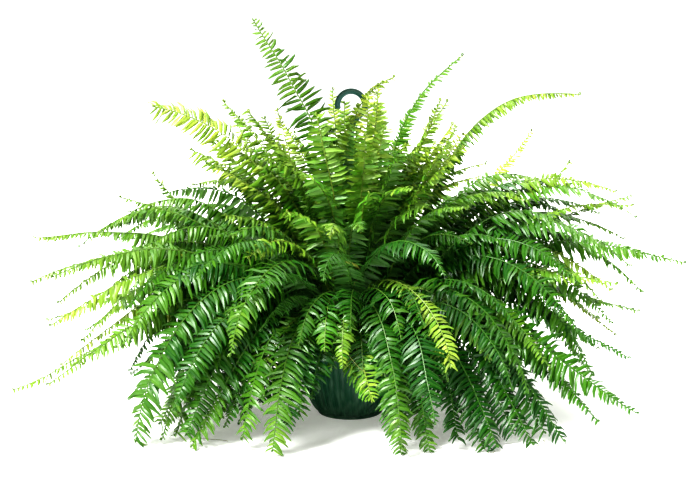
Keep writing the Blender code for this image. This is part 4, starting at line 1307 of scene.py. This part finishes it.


# The inner fronds: the smaller and hidden ones that fill the plant between the long ones. They
# spring from the same crown, each a golden angle round from the last, in tiers.

# For each tier: steepness at the foot, reach, height and pitch of the tip, and youth, which is
# under 0 in the low tiers to darken them with painted shade.
TIERS = (
    (40, 0.46, 0.07, -62, -0.25), (51, 0.44, 0.18, -50, -0.20), (57, 0.40, 0.27, -36, -0.05),
    (64, 0.34, 0.35, -18, 0.20), (74, 0.26, 0.42, 12, 0.40), (80, 0.15, 0.47, 50, 0.45),
)
INNER_FRONDS = 84
INNER_TAIL = 0.05
DEPTH_SHARE = 0.76
LOWEST_TIP = 0.03

draws = np.random.default_rng(77)
inner_rows = []
for k in range(INNER_FRONDS):
    launch, reach, height, pitch, young = TIERS[k % len(TIERS)]
    way = (GOLDEN_ANGLE * k) % 360.0
    reach = reach * draws.uniform(0.72, 1.0)
    height = height + draws.normal(0.0, 0.025)
    tip = heading(way + draws.normal(0.0, 5.0), 0.0) * reach
    # none of them stands in front of the hook or hangs in front of the pot
    in_front_of_hook = abs(tip[0]) < 0.07 and tip[1] < 0.03 and height > 0.40
    in_front_of_pot = abs(tip[0]) < 0.11 and tip[1] < -0.10 and height < 0.22
    if in_front_of_hook or in_front_of_pot:
        continue
    inner_rows.append((
        way, launch + draws.normal(0.0, 4.0), tip[0], tip[1] * DEPTH_SHARE,
        max(LOWEST_TIP, height), pitch + draws.normal(0.0, 6.0), draws.normal(0.0, 12.0),
        draws.uniform(0.06, 0.085), young + draws.normal(0.0, 0.10), draws.uniform(0.1, 0.5),
        INNER_TAIL,
    ))
grow_group("inner_fronds", inner_rows, plain_leaflet, 500)


# The runners: hair-thin bare shoots that the plant sends out to root beside it. Each trails and
# curls as it grew, off the lower fronds or along the ground.

RUNNER_THICK = 0.00035
ON_GROUND = 0.0012
RUNNERS = (
    ((-0.32, -0.17, 0.121), (-0.341, -0.17, 0.096), (-0.358, -0.175, 0.08),
     (-0.376, -0.18, 0.061), (-0.366, -0.18, 0.051)),
    ((-0.006, -0.19, 0.152), (0.005, -0.225, 0.147), (0.013, -0.23, 0.138),
     (0.02, -0.23, 0.13), (0.03, -0.225, 0.127)),
    ((0.431, -0.03, 0.136), (0.445, -0.03, 0.128), (0.462, -0.03, 0.127),
     (0.471, -0.03, 0.117), (0.464, -0.03, 0.11)),
)
GROUND_RUNNERS = (
    ((-0.175, -0.2), (-0.164, -0.225), (-0.154, -0.205), (-0.143, -0.23), (-0.132, -0.22)),
    ((0.123, -0.094), (0.123, -0.133), (0.13, -0.149), (0.126, -0.175), (0.135, -0.185)),
    ((0.287, -0.149), (0.289, -0.2), (0.302, -0.215), (0.319, -0.185), (0.311, -0.169)),
    ((0.213, -0.2), (0.213, -0.235), (0.219, -0.25), (0.231, -0.23), (0.226, -0.215)),
    ((-0.258, -0.169), (-0.246, -0.149), (-0.23, -0.175), (-0.217, -0.159), (-0.196, -0.175)),
)

# Runner skin: dry, pale brown, with greener stretches of about 30 mm where it is young.
runner_skin, tree = blank_material("dry_runner_skin")
place = add_node(tree, "TexCoord").outputs["Object"]
fresh = add_node(tree, "TexNoise", {"Vector": place, "Scale": 30.0, "Detail": 2.0})
colour = add_node(tree, "Mix", {0: fresh, 6: "7a5a3c", 7: "8a9a50"}, data_type="RGBA")
skin = add_node(tree, "BsdfPrincipled", {"Base Color": colour, "Roughness": 0.6})
add_node(tree, "OutputMaterial", {"Surface": skin})

on_ground = tuple([(x, y, ON_GROUND) for x, y in line] for line in GROUND_RUNNERS)
for number, line in enumerate(RUNNERS + on_ground, 1):
    bpy.ops.curve.primitive_nurbs_path_add()
    runner = bpy.context.object
    for point, place in zip(runner.data.splines[0].points, line):
        point.co = (*place, 1.0)
    runner = thicken(runner, RUNNER_THICK, 6, 1)
    finish_piece(runner, f"runner_{number}", [runner_skin])


# The stage: a plain white floor, a wide white surround and three broad soft lights.

FLOOR_SIZE = 12.0
FLOOR_LIFT = 0.24  # how much of the floor's white is its own, as on a lit table
CAMERA_DISTANCE = 2.3
CAMERA_PITCH = 9.5
CAMERA_LENS = 69.6
CAMERA_TARGET = Vector((0.0, 0.0, 0.30))
SURROUND_LIGHT = 0.20
# Each light: the way it comes from, how wide it looks (degrees), and its power.
LIGHTS = (
    ("key_light", (-0.60, -0.55, 1.05), 22.0, 5.9),
    ("fill_light", (-0.25, -1.0, 0.45), 60.0, 0.6),
    ("back_light", (0.25, 0.75, 1.0), 60.0, 2.4),
)
LIGHT_DISTANCE = 3.0

bpy.ops.mesh.primitive_plane_add(size=FLOOR_SIZE)
floor = bpy.context.object
floor.name = "floor"
paper, tree = blank_material("matt_white_floor")
seen = add_node(tree, "LightPath").outputs["Is Camera Ray"]
lifted = add_node(tree, "MapRange", {"Value": seen, "To Min": 0.0, "To Max": FLOOR_LIFT})
skin = add_node(tree, "BsdfPrincipled", {
    "Base Color": "f4f4f2", "Roughness": 0.9, "Emission Strength": lifted,
    "Emission Color": "fffff6"})
add_node(tree, "OutputMaterial", {"Surface": skin})
floor.data.materials.append(paper)

# the surround is seen white, and lights the plant more gently than that
world = bpy.data.worlds.new("white_surround")
world.use_nodes = True
world.node_tree.nodes.clear()
tree = world.node_tree
seen = add_node(tree, "LightPath").outputs["Is Camera Ray"]
strength = add_node(
    tree, "MapRange", {"Value": seen, "To Min": SURROUND_LIGHT, "To Max": 1.0})
surround = add_node(tree, "Background", {"Color": "ffffff", "Strength": strength})
add_node(tree, "OutputWorld", {"Surface": surround})
bpy.context.scene.world = world

for name, way, width, power in LIGHTS:
    way = Vector(way)
    bpy.ops.object.light_add(
        type="SUN", location=CAMERA_TARGET + way.normalized() * LIGHT_DISTANCE)
    lamp = bpy.context.object
    lamp.name = name
    lamp.data.angle = math.radians(width)
    lamp.data.energy = power
    lamp.rotation_euler = way.to_track_quat("Z", "Y").to_euler()

pitch = math.radians(CAMERA_PITCH)
bpy.ops.object.camera_add(
    location=CAMERA_TARGET + CAMERA_DISTANCE * Vector((0.0, -math.cos(pitch), math.sin(pitch))),
    rotation=(math.pi / 2 - pitch, 0.0, 0.0))
camera = bpy.context.object
camera.data.lens = CAMERA_LENS
bpy.context.scene.camera = camera
bpy.context.scene.view_settings.view_transform = "Standard"
bpy.context.scene.view_settings.look = "High Contrast"
